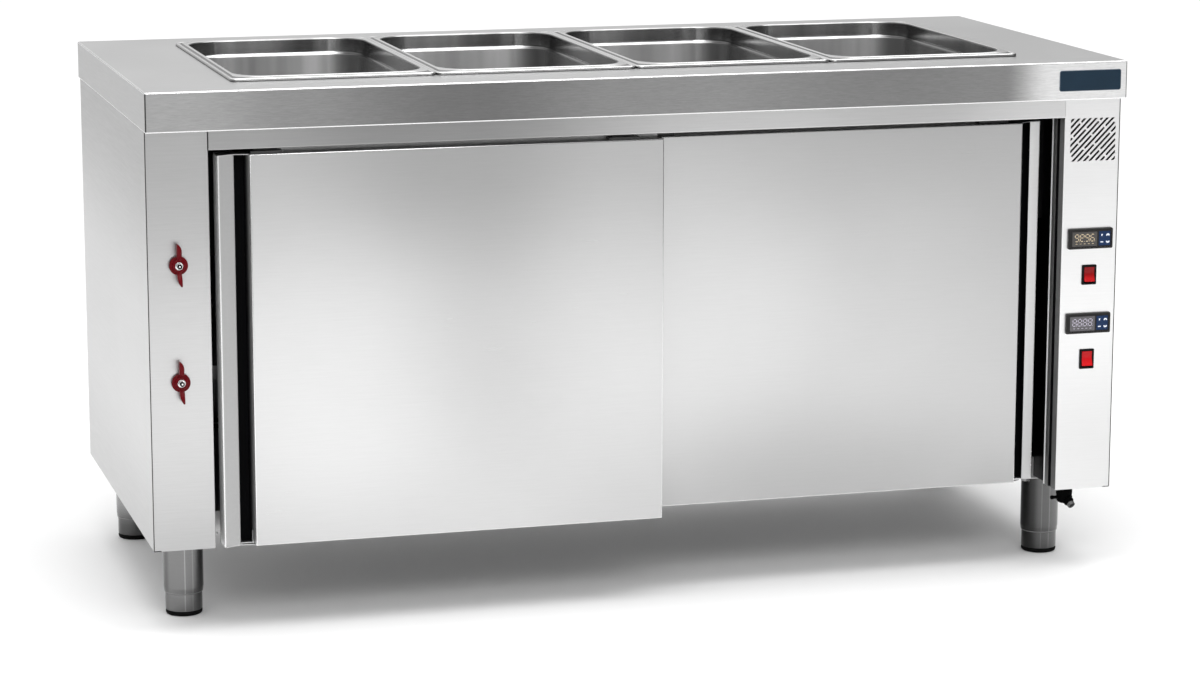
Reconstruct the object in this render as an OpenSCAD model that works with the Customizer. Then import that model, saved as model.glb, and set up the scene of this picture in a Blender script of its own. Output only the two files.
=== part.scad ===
// Heated serving counter: a stainless cabinet on four adjustable feet with
// a water tank that holds four full-size food pans, two sliding doors that
// hang from a twin track, water valves in the left column and controls in
// the right column.  Origin: centre of the footprint at floor level,
// +X to the right, +Y to the back, +Z up.

/* [Overall size] */
// Width of the worktop
top_w = 1600; // [1600:1:1640]
// Depth of the worktop from front to back
top_d = 730; // [730:1:750]
// Height of the worktop above the floor
top_h = 850; // [840:1:870]
// Height of the folded edge all round the worktop
skirt_h = 62; // [56:1:64]
// Height of the lower edge of the cabinet above the floor
base_z = 136; // [130:1:140]
// Thickness of the folded sheet
t = 1.5; // [1.2:0.1:2]

/* [Food pans] */
// Number of pans side by side
pan_n = 4; // [4]
// Outer width of a pan's rim
pan_w = 325; // [325]
// Outer length of a pan's rim
pan_l = 530; // [530]
// Distance between the centres of two pans
pan_pitch = 325.5; // [325.5:0.1:326]
// Depth of a pan below its rim
pan_depth = 150; // [100:5:150]
// Height of the rim above the worktop
rim_h = 7; // [6:0.1:9]

/* [Columns] */
// Width of a column from the cabinet's side
col_w = 97; // [95:1:99]
// Distance of the cabinet's front behind the worktop's front
front_in = 20; // [18:1:22]
// Distance of the cabinet's back in front of the worktop's back
back_in = 14; // [12:1:20]

/* [Sliding doors] */
// Thickness of a door
door_t = 40; // [40]
// Distance between the faces of the two doors
door_step = 45; // [45:1:46]
// Length of the front door
door1_l = 709; // [700:1:709]
// Length of the rear door
door2_l = 717; // [705:1:717]

/* [Legs] */
// Outer radius of the leg tube
leg_r = 31.5; // [31:0.5:32]
// Radius of the sliding foot sleeve
foot_r = 29.2; // [29:0.1:29.2]
// Height of the rubber pad under a foot
pad_h = 7; // [5:1:8]

/* [Hidden] */

// colours as seen on the object
steel = [0.76, 0.77, 0.78];
steel_in = [0.62, 0.63, 0.64];
black = [0.05, 0.05, 0.055];
red = [0.62, 0.05, 0.08];
brass = [0.72, 0.58, 0.30];

// derived positions, measured from the worktop's front left corner
skirt_z = top_h - skirt_h;
body_x0 = 1;
body_x1 = top_w - 1;
body_y0 = front_in;
body_y1 = top_d - back_in;
col_x0 = body_x0 + col_w;            // inner face of the left column
col_x1 = body_x1 - col_w;            // inner face of the right column
pan_x0 = (top_w - pan_n * pan_pitch) / 2;
pan_y0 = (top_d - pan_l) / 2;
cut_x0 = pan_x0 + 7.5;
cut_x1 = top_w - cut_x0;
cut_y0 = pan_y0 + 8;
cut_y1 = top_d - cut_y0;
tank_x0 = cut_x0 + 2;
tank_x1 = top_w - tank_x0;
tank_y0 = cut_y0 + 2;
tank_y1 = top_d - tank_y0;
tank_z = top_h - 210;                // inside of the tank's floor
seam = 0.1;                          // gap between two welded plates of one sub-part
ceil_z = tank_z - 60;                // underside of the cupboard's ceiling
shelf_z = 400;
floor_z = base_z + 36;               // top of the cupboard's floor
plate_z = base_z + 2;                // underside of the base plate
zone_y = body_y0 + 92;               // front of the carcass, behind the doors
fascia_z = top_h - 91.6;

// doors
d1_x = col_x0 + 14;                  // outer edge of the front door
d1_z0 = base_z - 1.5;
d1_z1 = top_h - 101.7;
d1_y = body_y0;
d2_x = col_x1 - 16.4;                // outer edge of the rear door
d2_z0 = base_z + 5.7;
d2_z1 = top_h - 105;
d2_y = body_y0 + door_step;
track_z0 = top_h - 85.5;
track_z1 = skirt_z - 1.5;
roll_z = track_z0 + t + 9.3;
hang1 = [d1_x + 78, d1_x + 648];
hang2 = [d2_x - 655, d2_x - 85];

// valves
valve_x = 48.5;
valve_y = body_y0 + 42;
fill_zv = 583;
drain_zv = 401;

// controls
ctl_x = col_x1 + 49.25;
ctl_z = [557, 416];
sw_z = [496.6, 355.7];

// legs
leg_x = [67.7, top_w - 67.7];
leg_y = [154, 660];

module P() translate([-top_w / 2, -top_d / 2, 0]) children();
module bx(x0, x1, y0, y1, z0, z1) translate([x0, y0, z0]) cube([x1 - x0, y1 - y0, z1 - z0]);
// rectangle with round corners
module rr(w, h, r) {
  translate([r, 0]) square([w - 2 * r, h]);
  translate([0, r]) square([w, h - 2 * r]);
  for (x = [r, w - r], y = [r, h - r]) translate([x, y]) circle(r, $fn = 48);
}
module rbox(x0, x1, y0, y1, z0, z1, r)
  translate([x0, y0, z0]) linear_extrude(z1 - z0) rr(x1 - x0, y1 - y0, r);
// plate with round corners that faces the front
module fbox(x0, x1, y0, y1, z0, z1, r)
  translate([x0, y1, z0]) rotate([90, 0, 0]) linear_extrude(y1 - y0) rr(x1 - x0, z1 - z0, r);
module ycyl(x, z, y0, y1, r, n = 48) translate([x, y1, z]) rotate([90, 0, 0]) cylinder(h = y1 - y0, r = r, $fn = n);
module xcyl(y, z, x0, x1, r, n = 48) translate([x0, y, z]) rotate([0, 90, 0]) cylinder(h = x1 - x0, r = r, $fn = n);
module zcyl(x, y, z0, z1, r, n = 48) translate([x, y, z0]) cylinder(h = z1 - z0, r = r, $fn = n);

// tube along a path of axis-parallel runs with round bends
function unit(v) = v / norm(v);
function side(d) = abs(d.z) > 0.5 ? [1, 0, 0] : [0, 0, 1];
module frame3(X, Y, Z, o) multmatrix([[X.x, Y.x, Z.x, o.x], [X.y, Y.y, Z.y, o.y], [X.z, Y.z, Z.z, o.z], [0, 0, 0, 1]]) children();
module run(pts, r, R) {
  n = len(pts);
  for (i = [0 : n - 2]) {
    d = unit(pts[i + 1] - pts[i]);
    a = pts[i] + (i > 0 ? R : 0) * d;
    b = pts[i + 1] - (i < n - 2 ? R : 0) * d;
    frame3(side(d), cross(d, side(d)), d, a) cylinder(h = norm(b - a), r = r, $fn = 32);
    if (i < n - 2) {
      e = unit(pts[i + 2] - pts[i + 1]);
      frame3(-e, d, cross(d, e), pts[i + 1] - R * d + R * e)
        rotate_extrude(angle = 90, $fn = 48) translate([R, 0]) circle(r, $fn = 32);
    }
  }
}

// folded top with skirt, under-edge and the cut-out for the pans
module worktop() color(steel) P() difference() {
  bx(0, top_w, 0, top_d, skirt_z, top_h);
  bx(t, top_w - t, t, top_d - t, skirt_z + t, top_h - t);
  bx(14, top_w - 14, 26, top_d - 22, skirt_z - 1, skirt_z + t + 1);
  rbox(cut_x0, cut_x1, cut_y0, cut_y1, top_h - t - 1, top_h + 1, 12);
  bx(1481.5, 1588.8, -1, 0.9, top_h - 47, top_h - 13.3);
}

module badge_plate() color([0.09, 0.11, 0.24]) P() bx(1481.5, 1588.8, 0, 0.9, top_h - 47, top_h - 13.3);

// open water tank welded from five plates, with a flange under the worktop
module water_tank() color(steel_in) P() {
  for (y = [[tank_y0 - t, tank_y0 - 16], [tank_y1, tank_y1]]) {
    bx(tank_x0 - t, tank_x1 + t, y[0], y[0] + t, tank_z - t, top_h - t);
    bx(tank_x0 - 16, tank_x1 + 16, y[1], y[1] + 16, top_h - 2 * t, top_h - t);
  }
  difference() {
    for (x = [[tank_x0 - t, tank_x0 - 16], [tank_x1, tank_x1]]) {
      bx(x[0], x[0] + t, tank_y0 + seam, tank_y1 - seam, tank_z - t, top_h - t);
      bx(x[1], x[1] + 16, tank_y0 + seam, tank_y1 - seam, top_h - 2 * t, top_h - t);
    }
    xcyl(150, top_h - 50, tank_x0 - 5, tank_x0 + 3, 8);
  }
  difference() {
    bx(tank_x0 + seam, tank_x1 - seam, tank_y0 + seam, tank_y1 - seam, tank_z - t, tank_z);
    zcyl(178, 200, tank_z - 5, tank_z + 5, 8);
  }
}

// three cross bars that carry the inner edges of the pans
module pan_bars() color(steel_in) P() for (i = [1 : pan_n - 1]) {
  x = pan_x0 + i * pan_pitch;
  bx(x - 10, x + 10, tank_y0, tank_y1, top_h - t, top_h);
  for (s = [-10, 10 - t]) bx(x + s, x + s + t, tank_y0, tank_y1, top_h - 12, top_h - t);
}

// full-size food pan with a turned-down rim and a stacking shoulder
module pan(i) color(steel) P() {
  x0 = pan_x0 + (pan_pitch - pan_w) / 2 + i * pan_pitch;
  y0 = pan_y0;
  zt = top_h + rim_h;
  difference() {
    union() {
      rbox(x0, x0 + pan_w, y0, y0 + pan_l, top_h, zt - 2, 10);
      rbox(x0 + 6.5, x0 + pan_w - 6.5, y0 + 6.5, y0 + pan_l - 6.5, zt - 3.4, zt, 30);
      rbox(x0 + 12, x0 + pan_w - 12, y0 + 12, y0 + pan_l - 12, zt - 27, zt - 0.5, 58);
      rbox(x0 + 15, x0 + pan_w - 15, y0 + 15, y0 + pan_l - 15, zt - pan_depth, zt - 26, 58);
    }
    difference() {
      union() {
        rbox(x0 + 1.5, x0 + pan_w - 1.5, y0 + 1.5, y0 + pan_l - 1.5, top_h - 1, zt - 3.4, 8.5);
        rbox(x0 + 8, x0 + pan_w - 8, y0 + 8, y0 + pan_l - 8, zt - 4, zt - 1.4, 28.5);
      }
      rbox(x0 + 12, x0 + pan_w - 12, y0 + 12, y0 + pan_l - 12, top_h - 2, zt, 58);
    }
    rbox(x0 + 13.2, x0 + pan_w - 13.2, y0 + 13.2, y0 + pan_l - 13.2, zt - 25.8, zt + 1, 56.8);
    rbox(x0 + 16.2, x0 + pan_w - 16.2, y0 + 16.2, y0 + pan_l - 16.2, zt - pan_depth + 1.2, zt - 25, 56.8);
  }
}

module side_panel_left() color(steel) P() bx(body_x0, body_x0 + t, body_y0, body_y1, base_z, skirt_z);
module side_panel_right() color(steel) P() bx(body_x1 - t, body_x1, body_y0, body_y1, base_z, skirt_z);

// front of the left column with the two stem holes
module column_panel_left() color(steel) P() difference() {
  union() {
    bx(body_x0 + t, col_x0, body_y0, body_y0 + t, base_z, skirt_z);
    bx(col_x0 - t, col_x0, body_y0, body_y0 + 24, base_z, skirt_z);
  }
  for (z = [fill_zv, drain_zv]) ycyl(valve_x, z, body_y0 - 1, body_y0 + t + 1, 8);
}

// slots of the air grille, slanted and staggered like bricks
module grille_slots() intersection() {
  bx(ctl_x - 38.9, ctl_x + 40.2, body_y0 - 2, body_y0 + t + 2, top_h - 165, top_h - 94.8);
  translate([ctl_x + 0.6, body_y0 - 1, top_h - 130]) rotate([0, -45, 0])
    for (n = [-7 : 7], m = [-2 : 1])
      translate([m * 51 + (n % 2 == 0 ? -20 : n < 0 ? -1.5 : 5.8), 0, n * 7.07 - 1.75]) cube([47.5, t + 2, 3.5]);
}

// front of the right column with the grille and the control cut-outs; its
// folded edge has a groove for the door's seal
module control_panel() color(steel) P() difference() {
  union() {
    bx(col_x1, body_x1 - t, body_y0, body_y0 + t, base_z, skirt_z);
    for (y = [0, 31]) bx(col_x1, col_x1 + t, body_y0 + y, body_y0 + y + 21, base_z, skirt_z);
    for (y = [21 - t, 31]) bx(col_x1, col_x1 + 5, body_y0 + y, body_y0 + y + t, base_z, skirt_z);
    bx(col_x1 + 5 - t, col_x1 + 5, body_y0 + 21 - t, body_y0 + 31 + t, base_z, skirt_z);
    bx(col_x1, col_x1 + 9, body_y0 + 52 - t, body_y0 + 52, base_z, skirt_z);
  }
  for (z = ctl_z) bx(ctl_x - 35.7, ctl_x + 35.7, body_y0 - 1, body_y0 + t + 1, z - 14.7, z + 14.7);
  for (z = sw_z) bx(ctl_x - 10.7, ctl_x + 10.7, body_y0 - 1, body_y0 + t + 1, z - 14.7, z + 14.7);
  grille_slots();
}

// inner walls of the columns with the shelf pegs
module column_wall(s) difference() {
  union() {
    bx(0, t, body_y0 + (s > 0 ? 37 : 55), body_y1 - t, plate_z + 2, track_z1);
    for (y = [230, 600]) xcyl(y, shelf_z - 4, s > 0 ? t : -12, s > 0 ? 12 + t : 0, 4);
  }
  if (s > 0) xcyl(200, ceil_z + 20, -1, t + 1, 11);
}
module column_wall_left() color(steel_in) P() translate([col_x0 - t, 0, 0]) column_wall(1);
module column_wall_right() color(steel_in) P() translate([col_x1, 0, 0]) column_wall(-1);

module back_panel() color(steel) P() difference() {
  bx(body_x0 + t, body_x1 - t, body_y1 - t, body_y1, base_z, skirt_z);
  for (z = [530, 350]) ycyl(valve_x, z, body_y1 - 3, body_y1 + 1, 11.5);
}

// base plate under the columns and the cupboard, with the cupboard's floor tray
module cabinet_floor() color(steel_in) P() {
  difference() {
    union() {
      bx(body_x0 + t, body_x1 - t, zone_y, body_y1 - t, plate_z, plate_z + 2);
      bx(body_x0 + t, col_x0 - t, body_y0 + t, zone_y, plate_z, plate_z + 2);
      bx(col_x1 + 10, body_x1 - t, body_y0 + t, zone_y, plate_z, plate_z + 2);
    }
    for (x = leg_x, y = leg_y, i = [-40, 40], j = [-34, 34]) zcyl(x + i, y + j, plate_z - 1, plate_z + 3, 4.3);
    zcyl(1530, 47, plate_z - 1, plate_z + 3, 10);
  }
  bx(col_x0, col_x1, zone_y, body_y1 - t, floor_z - t, floor_z);
  for (y = [zone_y, body_y1 - 2 * t]) bx(col_x0, col_x1, y, y + t, plate_z + 2 + seam, floor_z - t - seam);
  for (x = [col_x0, col_x1 - t]) bx(x, x + t, zone_y + t + seam, body_y1 - 2 * t - seam, plate_z + 2 + seam, floor_z - t - seam);
}

module inner_shelf() color(steel_in) P() {
  bx(col_x0, col_x1, 130, 700, shelf_z, shelf_z + t);
  bx(col_x0 + 14, col_x1 - 14, 130, 130 + t, shelf_z - 20, shelf_z);
  bx(col_x0 + 14, col_x1 - 14, 700 - t, 700, shelf_z - 20, shelf_z);
}

// ceiling of the cupboard with the upright in front of the tank
module ceiling_panel() color(steel_in) P() {
  bx(col_x0, col_x1, zone_y - 5.5, body_y1 - t, ceil_z, ceil_z + t);
  bx(col_x0, col_x1, zone_y - 5.5, zone_y - 4, ceil_z + t, track_z0);
}

module front_fascia() color(steel) P() {
  bx(col_x0 + 0.5, col_x1 - 0.5, body_y0, body_y0 + t, fascia_z, skirt_z);
  bx(col_x0 + 0.5, col_x1 - 0.5, body_y0 + t, body_y0 + 13, fascia_z, fascia_z + t);
  bx(col_x0 + 0.5, col_x1 - 0.5, body_y0 + t, body_y0 + 84, track_z1, skirt_z);
}

// twin top track, one slotted channel for each door
module door_track() color(steel_in) P() difference() {
  union() for (y = [d1_y + 5, d2_y + 5]) bx(col_x0, col_x1, y, y + 32, track_z0, track_z1);
  for (y = [d1_y + 5, d2_y + 5]) {
    bx(col_x0 - 1, col_x1 + 1, y + t, y + 32 - t, track_z0 + t, track_z1 - t);
    bx(col_x0 - 1, col_x1 + 1, y + 14, y + 24, track_z0 - 1, track_z0 + t + 1);
  }
}

// guide under the middle of the doors, one blade for each door
module lower_guide() color(black) P() {
  bx(782, 812, d1_y + 15, zone_y + 25, d1_z0 - 3, d1_z0 - 1.5);
  bx(782, 812, zone_y, zone_y + 25, d1_z0 - 1.5, plate_z);
  bx(784, 810, d1_y + 19, d1_y + 21, d1_z0 - 1.5, plate_z + 14);
  bx(784, 810, d2_y + 19, d2_y + 21, d1_z0 - 1.5, plate_z + 17);
}

// leg tubes with their top plates and threaded inserts
module leg_tubes() color(steel) P() for (x = leg_x, y = leg_y) difference() {
  translate([x, y, 0]) union() {
    rotate_extrude($fn = 64) polygon([[foot_r + 0.3, 36], [foot_r + 0.7, 36], [leg_r, 44], [leg_r, plate_z - 3], [foot_r + 0.3, plate_z - 3]]);
    translate([0, 0, 100]) cylinder(h = 6, r = foot_r + 0.8, $fn = 64);
    translate([-50, -45, plate_z - 3]) cube([100, 90, 3]);
  }
  zcyl(x, y, 90, 120, 6.05);
  for (i = [-40, 40], j = [-34, 34]) zcyl(x + i, y + j, plate_z - 4, plate_z + 1, 4.3);
}

// bolts and nuts that hold the legs to the base plate
module leg_bolts() color(steel_in) P() for (x = leg_x, y = leg_y, i = [-40, 40], j = [-34, 34]) {
  zcyl(x + i, y + j, plate_z - 8, plate_z - 3, 7, 6);
  zcyl(x + i, y + j, plate_z - 3, plate_z + 2, 4);
  zcyl(x + i, y + j, plate_z + 2, plate_z + 8, 7, 6);
}

// sleeve foot with its threaded stud
module foot(x, y) color(steel) P() translate([x, y, 0]) {
  rotate_extrude($fn = 64) polygon([[0, pad_h], [foot_r, pad_h], [foot_r, 95], [foot_r - 1.5, 95], [foot_r - 1.5, pad_h + 2], [6, pad_h + 2], [6, 133], [0, 133]]);
}
module foot_front_left() foot(leg_x[0], leg_y[0]);
module foot_front_right() foot(leg_x[1], leg_y[0]);
module foot_back_left() foot(leg_x[0], leg_y[1]);
module foot_back_right() foot(leg_x[1], leg_y[1]);

module pad(x, y) color(black) P() translate([x, y, 0]) rotate_extrude($fn = 64)
  polygon([[0, 0], [foot_r - 2, 0], [foot_r - 0.4, 1.6], [foot_r, 3], [foot_r, pad_h], [0, pad_h]]);
module pad_front_left() pad(leg_x[0], leg_y[0]);
module pad_front_right() pad(leg_x[1], leg_y[0]);
module pad_back_left() pad(leg_x[0], leg_y[1]);
module pad_back_right() pad(leg_x[1], leg_y[1]);

// quarter-turn ball valves, flow along Z, stem towards the front
module valve_bodies() color(brass) P() for (z = [fill_zv, drain_zv]) difference() {
  union() {
    zcyl(valve_x, valve_y, z - 28, z - 16, 15, 6);
    zcyl(valve_x, valve_y, z - 16, z + 16, 17);
    zcyl(valve_x, valve_y, z + 16, z + 28, 15, 6);
    ycyl(valve_x, z, body_y0 + 10, valve_y, 9.5);
  }
  zcyl(valve_x, valve_y, z - 29, z + 29, 8);
  ycyl(valve_x, z, body_y0 + 5, valve_y, 5.05);
}

module stem(z) color([0.8, 0.8, 0.82]) P() {
  ycyl(valve_x, z, body_y0 - 10, body_y0 + 30, 5);
  ycyl(valve_x, z, body_y0 - 15, body_y0 - 10, 7.4, 6);
  ycyl(valve_x, z, body_y0 - 18, body_y0 - 15, 4);
}
module fill_stem() stem(fill_zv);
module drain_stem() stem(drain_zv);

// butterfly handle: round base with two swept wings
module handle(z) color(red) P() translate([valve_x, 0, z]) difference() {
  union() {
    ycyl(0, 0, body_y0 - 6.5, body_y0 - 3, 14.5);
    ycyl(0, 0, body_y0 - 10, body_y0 - 6.5, 9.5);
    translate([0, body_y0 - 3, 0]) rotate([90, 0, 0]) linear_extrude(15.5) {
      polygon([[-3.7, 12.5], [-3.9, 26], [-3.1, 34], [1.6, 30], [3.9, 25], [4.1, 12.5]]);
      polygon([[-3.6, -12.5], [-3.8, -22], [0.6, -31], [4.2, -31.4], [4.4, -22], [4.2, -12.5]]);
    }
    translate([0, body_y0 - 3, 0]) rotate([90, 0, 0]) linear_extrude(7) {
      polygon([[-3.7, 7], [-3.7, 13], [4.1, 13], [4.1, 7]]);
      polygon([[-3.6, -7], [-3.6, -13], [4.2, -13], [4.2, -7]]);
    }
  }
  ycyl(0, 0, body_y0 - 30, body_y0, 5.05);
}
module fill_handle() handle(fill_zv);
module drain_handle() handle(drain_zv);

// threaded spigot that stands out of the back
module spigot(z) difference() {
  ycyl(valve_x, z, body_y1, top_d, 10.48, 64);
  ycyl(valve_x, z, body_y1 - 1, top_d + 1, 7.5);
}

// water supply from the back, through the upper valve, to the tank's side
module fill_pipe() color(steel_in) P() {
  difference() {
    union() {
      run([[valve_x, body_y1, 530], [valve_x, valve_y, 530], [valve_x, valve_y, fill_zv - 28]], 9.5, 16);
      run([[valve_x, valve_y, fill_zv + 28], [valve_x, valve_y, top_h - 50], [valve_x, 150, top_h - 50], [tank_x0 - t, 150, top_h - 50]], 9.5, 16);
    }
    run([[valve_x, body_y1 + 1, 530], [valve_x, valve_y, 530], [valve_x, valve_y, fill_zv - 27]], 7.5, 16);
    run([[valve_x, valve_y, fill_zv + 27], [valve_x, valve_y, top_h - 50], [valve_x, 150, top_h - 50], [tank_x0 + 1, 150, top_h - 50]], 7.5, 16);
  }
  spigot(530);
}

// drain from the tank's floor, through the lower valve, to the back
module drain_pipe() color(steel_in) P() {
  difference() {
    union() {
      run([[178, 200, tank_z - t], [178, 200, ceil_z + 20], [80, 200, ceil_z + 20], [80, 200, 455], [valve_x, 200, 455], [valve_x, valve_y, 455], [valve_x, valve_y, drain_zv + 28]], 9.5, 14);
      run([[valve_x, valve_y, drain_zv - 28], [valve_x, valve_y, 350], [valve_x, body_y1, 350]], 9.5, 14);
    }
    run([[178, 200, tank_z + 1], [178, 200, ceil_z + 20], [80, 200, ceil_z + 20], [80, 200, 455], [valve_x, 200, 455], [valve_x, valve_y, 455], [valve_x, valve_y, drain_zv + 27]], 7.5, 14);
    run([[valve_x, valve_y, drain_zv - 27], [valve_x, valve_y, 350], [valve_x, body_y1 + 1, 350]], 7.5, 14);
  }
  spigot(350);
}

// temperature controllers: front frame and body behind the panel
module controller_cases() color(black) P() for (z = ctl_z) difference() {
  union() {
    fbox(ctl_x - 39, ctl_x + 39, body_y0 - 6, body_y0, z - 17, z + 17, 2.5);
    bx(ctl_x - 35.5, ctl_x + 35.5, body_y0, body_y0 + 60, z - 14.5, z + 14.5);
  }
  bx(ctl_x - 33.5, ctl_x + 11, body_y0 - 7, body_y0 - 4.5, z - 12.3, z + 12.3);
  bx(ctl_x + 13.3, ctl_x + 34.4, body_y0 - 7, body_y0 - 2.5, z - 12.3, z + 12.3);
}
module display_windows() color([0.12, 0.1, 0.09]) P() for (z = ctl_z)
  bx(ctl_x - 33.5, ctl_x + 11, body_y0 - 6, body_y0 - 4.5, z - 12.3, z + 12.3);

// moulded keypad with four raised keys
module keypad(z) color([0.06, 0.13, 0.32]) P() {
  bx(ctl_x + 13.6, ctl_x + 34.1, body_y0 - 5.6, body_y0 - 3.5, z - 12, z + 12);
  for (x = [ctl_x + 18.6, ctl_x + 29.1], k = [-5.8, 5.8]) fbox(x - 3.8, x + 3.8, body_y0 - 6.4, body_y0 - 5.6, z + k - 4.2, z + k + 4.2, 1.5);
}
module keypad_upper() keypad(ctl_z[0]);
module keypad_lower() keypad(ctl_z[1]);

// frames and bodies of the rocker switches
module rocker_bezels() color(black) P() for (z = sw_z) difference() {
  union() {
    fbox(ctl_x - 12.7, ctl_x + 12.7, body_y0 - 2.4, body_y0, z - 16.5, z + 16.5, 1.5);
    bx(ctl_x - 10.5, ctl_x + 10.5, body_y0, body_y0 + 24, z - 14.5, z + 14.5);
  }
  bx(ctl_x - 9.2, ctl_x + 9.2, body_y0 - 3, body_y0 + 20, z - 13.4, z + 13.4);
  xcyl(body_y0 + 3, z, ctl_x - 11, ctl_x + 11, 1.6, 32);
}

// rocker with a hollowed face, tilted about its pins
module rocker(z) color([0.8, 0.05, 0.07]) P() translate([ctl_x, body_y0 + 3, z]) rotate([-8, 0, 0]) {
  translate([-8.9, 0, 0]) rotate([90, 0, 90]) linear_extrude(17.8)
    polygon([[-7.5, 12], [-5.9, 6], [-5.3, 0], [-5.9, -6], [-7.5, -12], [2.5, -11.8], [9, -4], [9, 4], [2.5, 11.8]]);
  xcyl(0, 0, -10, 10, 1.5, 32);
}
module rocker_upper() rocker(sw_z[0]);
module rocker_lower() rocker(sw_z[1]);

module terminal_block() color([0.85, 0.82, 0.72]) P() difference() {
  bx(1522, 1582, 78, 108, plate_z + 2, plate_z + 26);
  for (i = [0 : 4]) bx(1525 + i * 11.5, 1533 + i * 11.5, 77, 88, plate_z + 14, plate_z + 27);
}

// tubular element under the tank
module tank_heater() color([0.32, 0.30, 0.29]) P() {
  run([[1440, 190, tank_z - 5.5], [260, 190, tank_z - 5.5], [260, 300, tank_z - 5.5], [1400, 300, tank_z - 5.5],
    [1400, 420, tank_z - 5.5], [260, 420, tank_z - 5.5], [260, 530, tank_z - 5.5], [1440, 530, tank_z - 5.5]], 4, 30);
}

// tubular element at the back of the cupboard's floor, on three clips
module cupboard_heater() color([0.32, 0.30, 0.29]) P() {
  run([[1480, 640, floor_z + 18], [180, 640, floor_z + 18], [180, 690, floor_z + 18], [1480, 690, floor_z + 18]], 4, 20);
  for (x = [300, 800, 1300]) bx(x - 6, x + 6, 634, 696, floor_z, floor_z + 14);
}

// door skin: face, hand channel and folded edges, seen along Z
module skin2d(L, lw, d_out, d_in, f0) {
  polygon([[0, d_out], [lw, d_in], [lw, d_in + 5], [lw - 1.5, d_in + 5], [lw - 1.5, d_in + 1.5], [0, d_out + 1.5]]);
  translate([0, d_out]) square([1.5, 37.5 - d_out]);
  translate([0, 36]) square([f0 - 2.4, 1.5]);
  polygon([[f0, 0], [f0 + 1.5, 0], [f0 - 2, 37.5], [f0 - 3.5, 37.5]]);
  translate([f0, 0]) square([L - f0, 1.5]);
  translate([L - 1.5, 0]) square([1.5, 38.5]);
}
module skin(L, z0, z1, lw, d_out, d_in, f0) difference() {
  union() {
    translate([0, 0, z0]) linear_extrude(z1 - z0) skin2d(L, lw, d_out, d_in, f0);
    for (z = [z0, z1 - 1.5]) {
      translate([0, 0, z]) linear_extrude(1.5) polygon([[0, d_out], [f0, min(d_out, 0)], [f0 + 1.5, 0.5], [f0, 37.5], [0, 37.5]]);
      translate([f0 + 1, 1, z]) cube([L - f0 - 2, 31, 1.5]);
    }
  }
  translate([-1, 16, z0 - 1]) cube([L + 2, 8, 21]);
}
module inner_skin(L, z0, z1) {
  difference() {
    union() {
      translate([0, 38.5, z0]) cube([L, 1.5, z1 - z0]);
      translate([70, 33.5, z1 - 1.5]) cube([L - 72, 5.2, 1.5]);
      translate([70, 32.2, z1 - 1.5]) cube([L - 72, 1.5, 15]);
    }
  }
}
// angle bracket on the door's top with the axle of its roller
module hanger(z1) difference() {
  union() {
    translate([-25, 12, z1]) cube([50, 19, 3]);
    translate([-18, 22.5, z1]) cube([36, 3, track_z1 - t - 3 - z1]);
    translate([0, 22.6, roll_z]) rotate([90, 0, 0]) cylinder(h = 14.6, r = 3, $fn = 32);
    translate([0, 9, roll_z]) rotate([90, 0, 0]) cylinder(h = 1, r = 5, $fn = 32);
  }
}
module roller() rotate([90, 0, 0]) difference() {
  cylinder(h = 10, r = 9, $fn = 64);
  translate([0, 0, -1]) cylinder(h = 12, r = 3.05, $fn = 32);
}

module door1() P() translate([d1_x, d1_y, 0]) children();
module door2() P() translate([d2_x, d2_y, 0]) mirror([1, 0, 0]) children();
module door_left_outer() color(steel) door1() skin(door1_l, d1_z0, d1_z1, 27.4, 2, 12, 49.5);
module door_left_inner() color(steel_in) door1() inner_skin(door1_l, d1_z0, d1_z1);
module door_left_hangers() color(steel_in) P() for (x = hang1) translate([x, d1_y, 0]) hanger(d1_z1);
module door_left_roller_a() color(black) P() translate([hang1[0], d1_y + 19.5, roll_z]) roller();
module door_left_roller_b() color(black) P() translate([hang1[1], d1_y + 19.5, roll_z]) roller();
module door_right_outer() color(steel) door2() skin(door2_l, d2_z0, d2_z1, 18.4, 16, 18, 38);
module door_right_inner() color(steel_in) door2() inner_skin(door2_l, d2_z0, d2_z1);
module door_right_hangers() color(steel_in) P() for (x = hang2) translate([x, d2_y, 0]) hanger(d2_z1);
module door_right_roller_a() color(black) P() translate([hang2[0], d2_y + 19.5, roll_z]) roller();
module door_right_roller_b() color(black) P() translate([hang2[1], d2_y + 19.5, roll_z]) roller();

module pan_1() pan(0);
module pan_2() pan(1);
module pan_3() pan(2);
module pan_4() pan(3);

// cable gland under the right column: round body, slanted clamp nut, locking screw
gl = [1530, 47, plate_z - 18];
module aim() translate(gl) rotate([125, 0, 17]) children();
module gland_body() color(black) P() difference() {
  union() {
    zcyl(gl.x, gl.y, gl.z - 9, plate_z, 13);
    translate(gl - [0, 0, 13]) cylinder(h = 4, r1 = 9.5, r2 = 13, $fn = 64);
    zcyl(gl.x, gl.y, plate_z, plate_z + 8, 9.6);
    xcyl(gl.y, gl.z - 3, gl.x - 24, gl.x - 8, 3.4, 32);
  }
  zcyl(gl.x, gl.y, gl.z, plate_z + 9, 6);
  aim() cylinder(h = 30, r = 5.2, $fn = 48);
  aim() translate([0, 0, 11]) cylinder(h = 20, r = 8.6, $fn = 48);
}
module gland_nut() color([0.12, 0.12, 0.12]) P() aim() difference() {
  union() {
    translate([0, 0, 11]) cylinder(h = 6, r = 8.5, $fn = 48);
    translate([0, 0, 17]) cylinder(h = 8, r1 = 7.4, r2 = 6.4, $fn = 48);
  }
  translate([0, 0, 10]) cylinder(h = 16, r = 5, $fn = 48);
}

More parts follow.
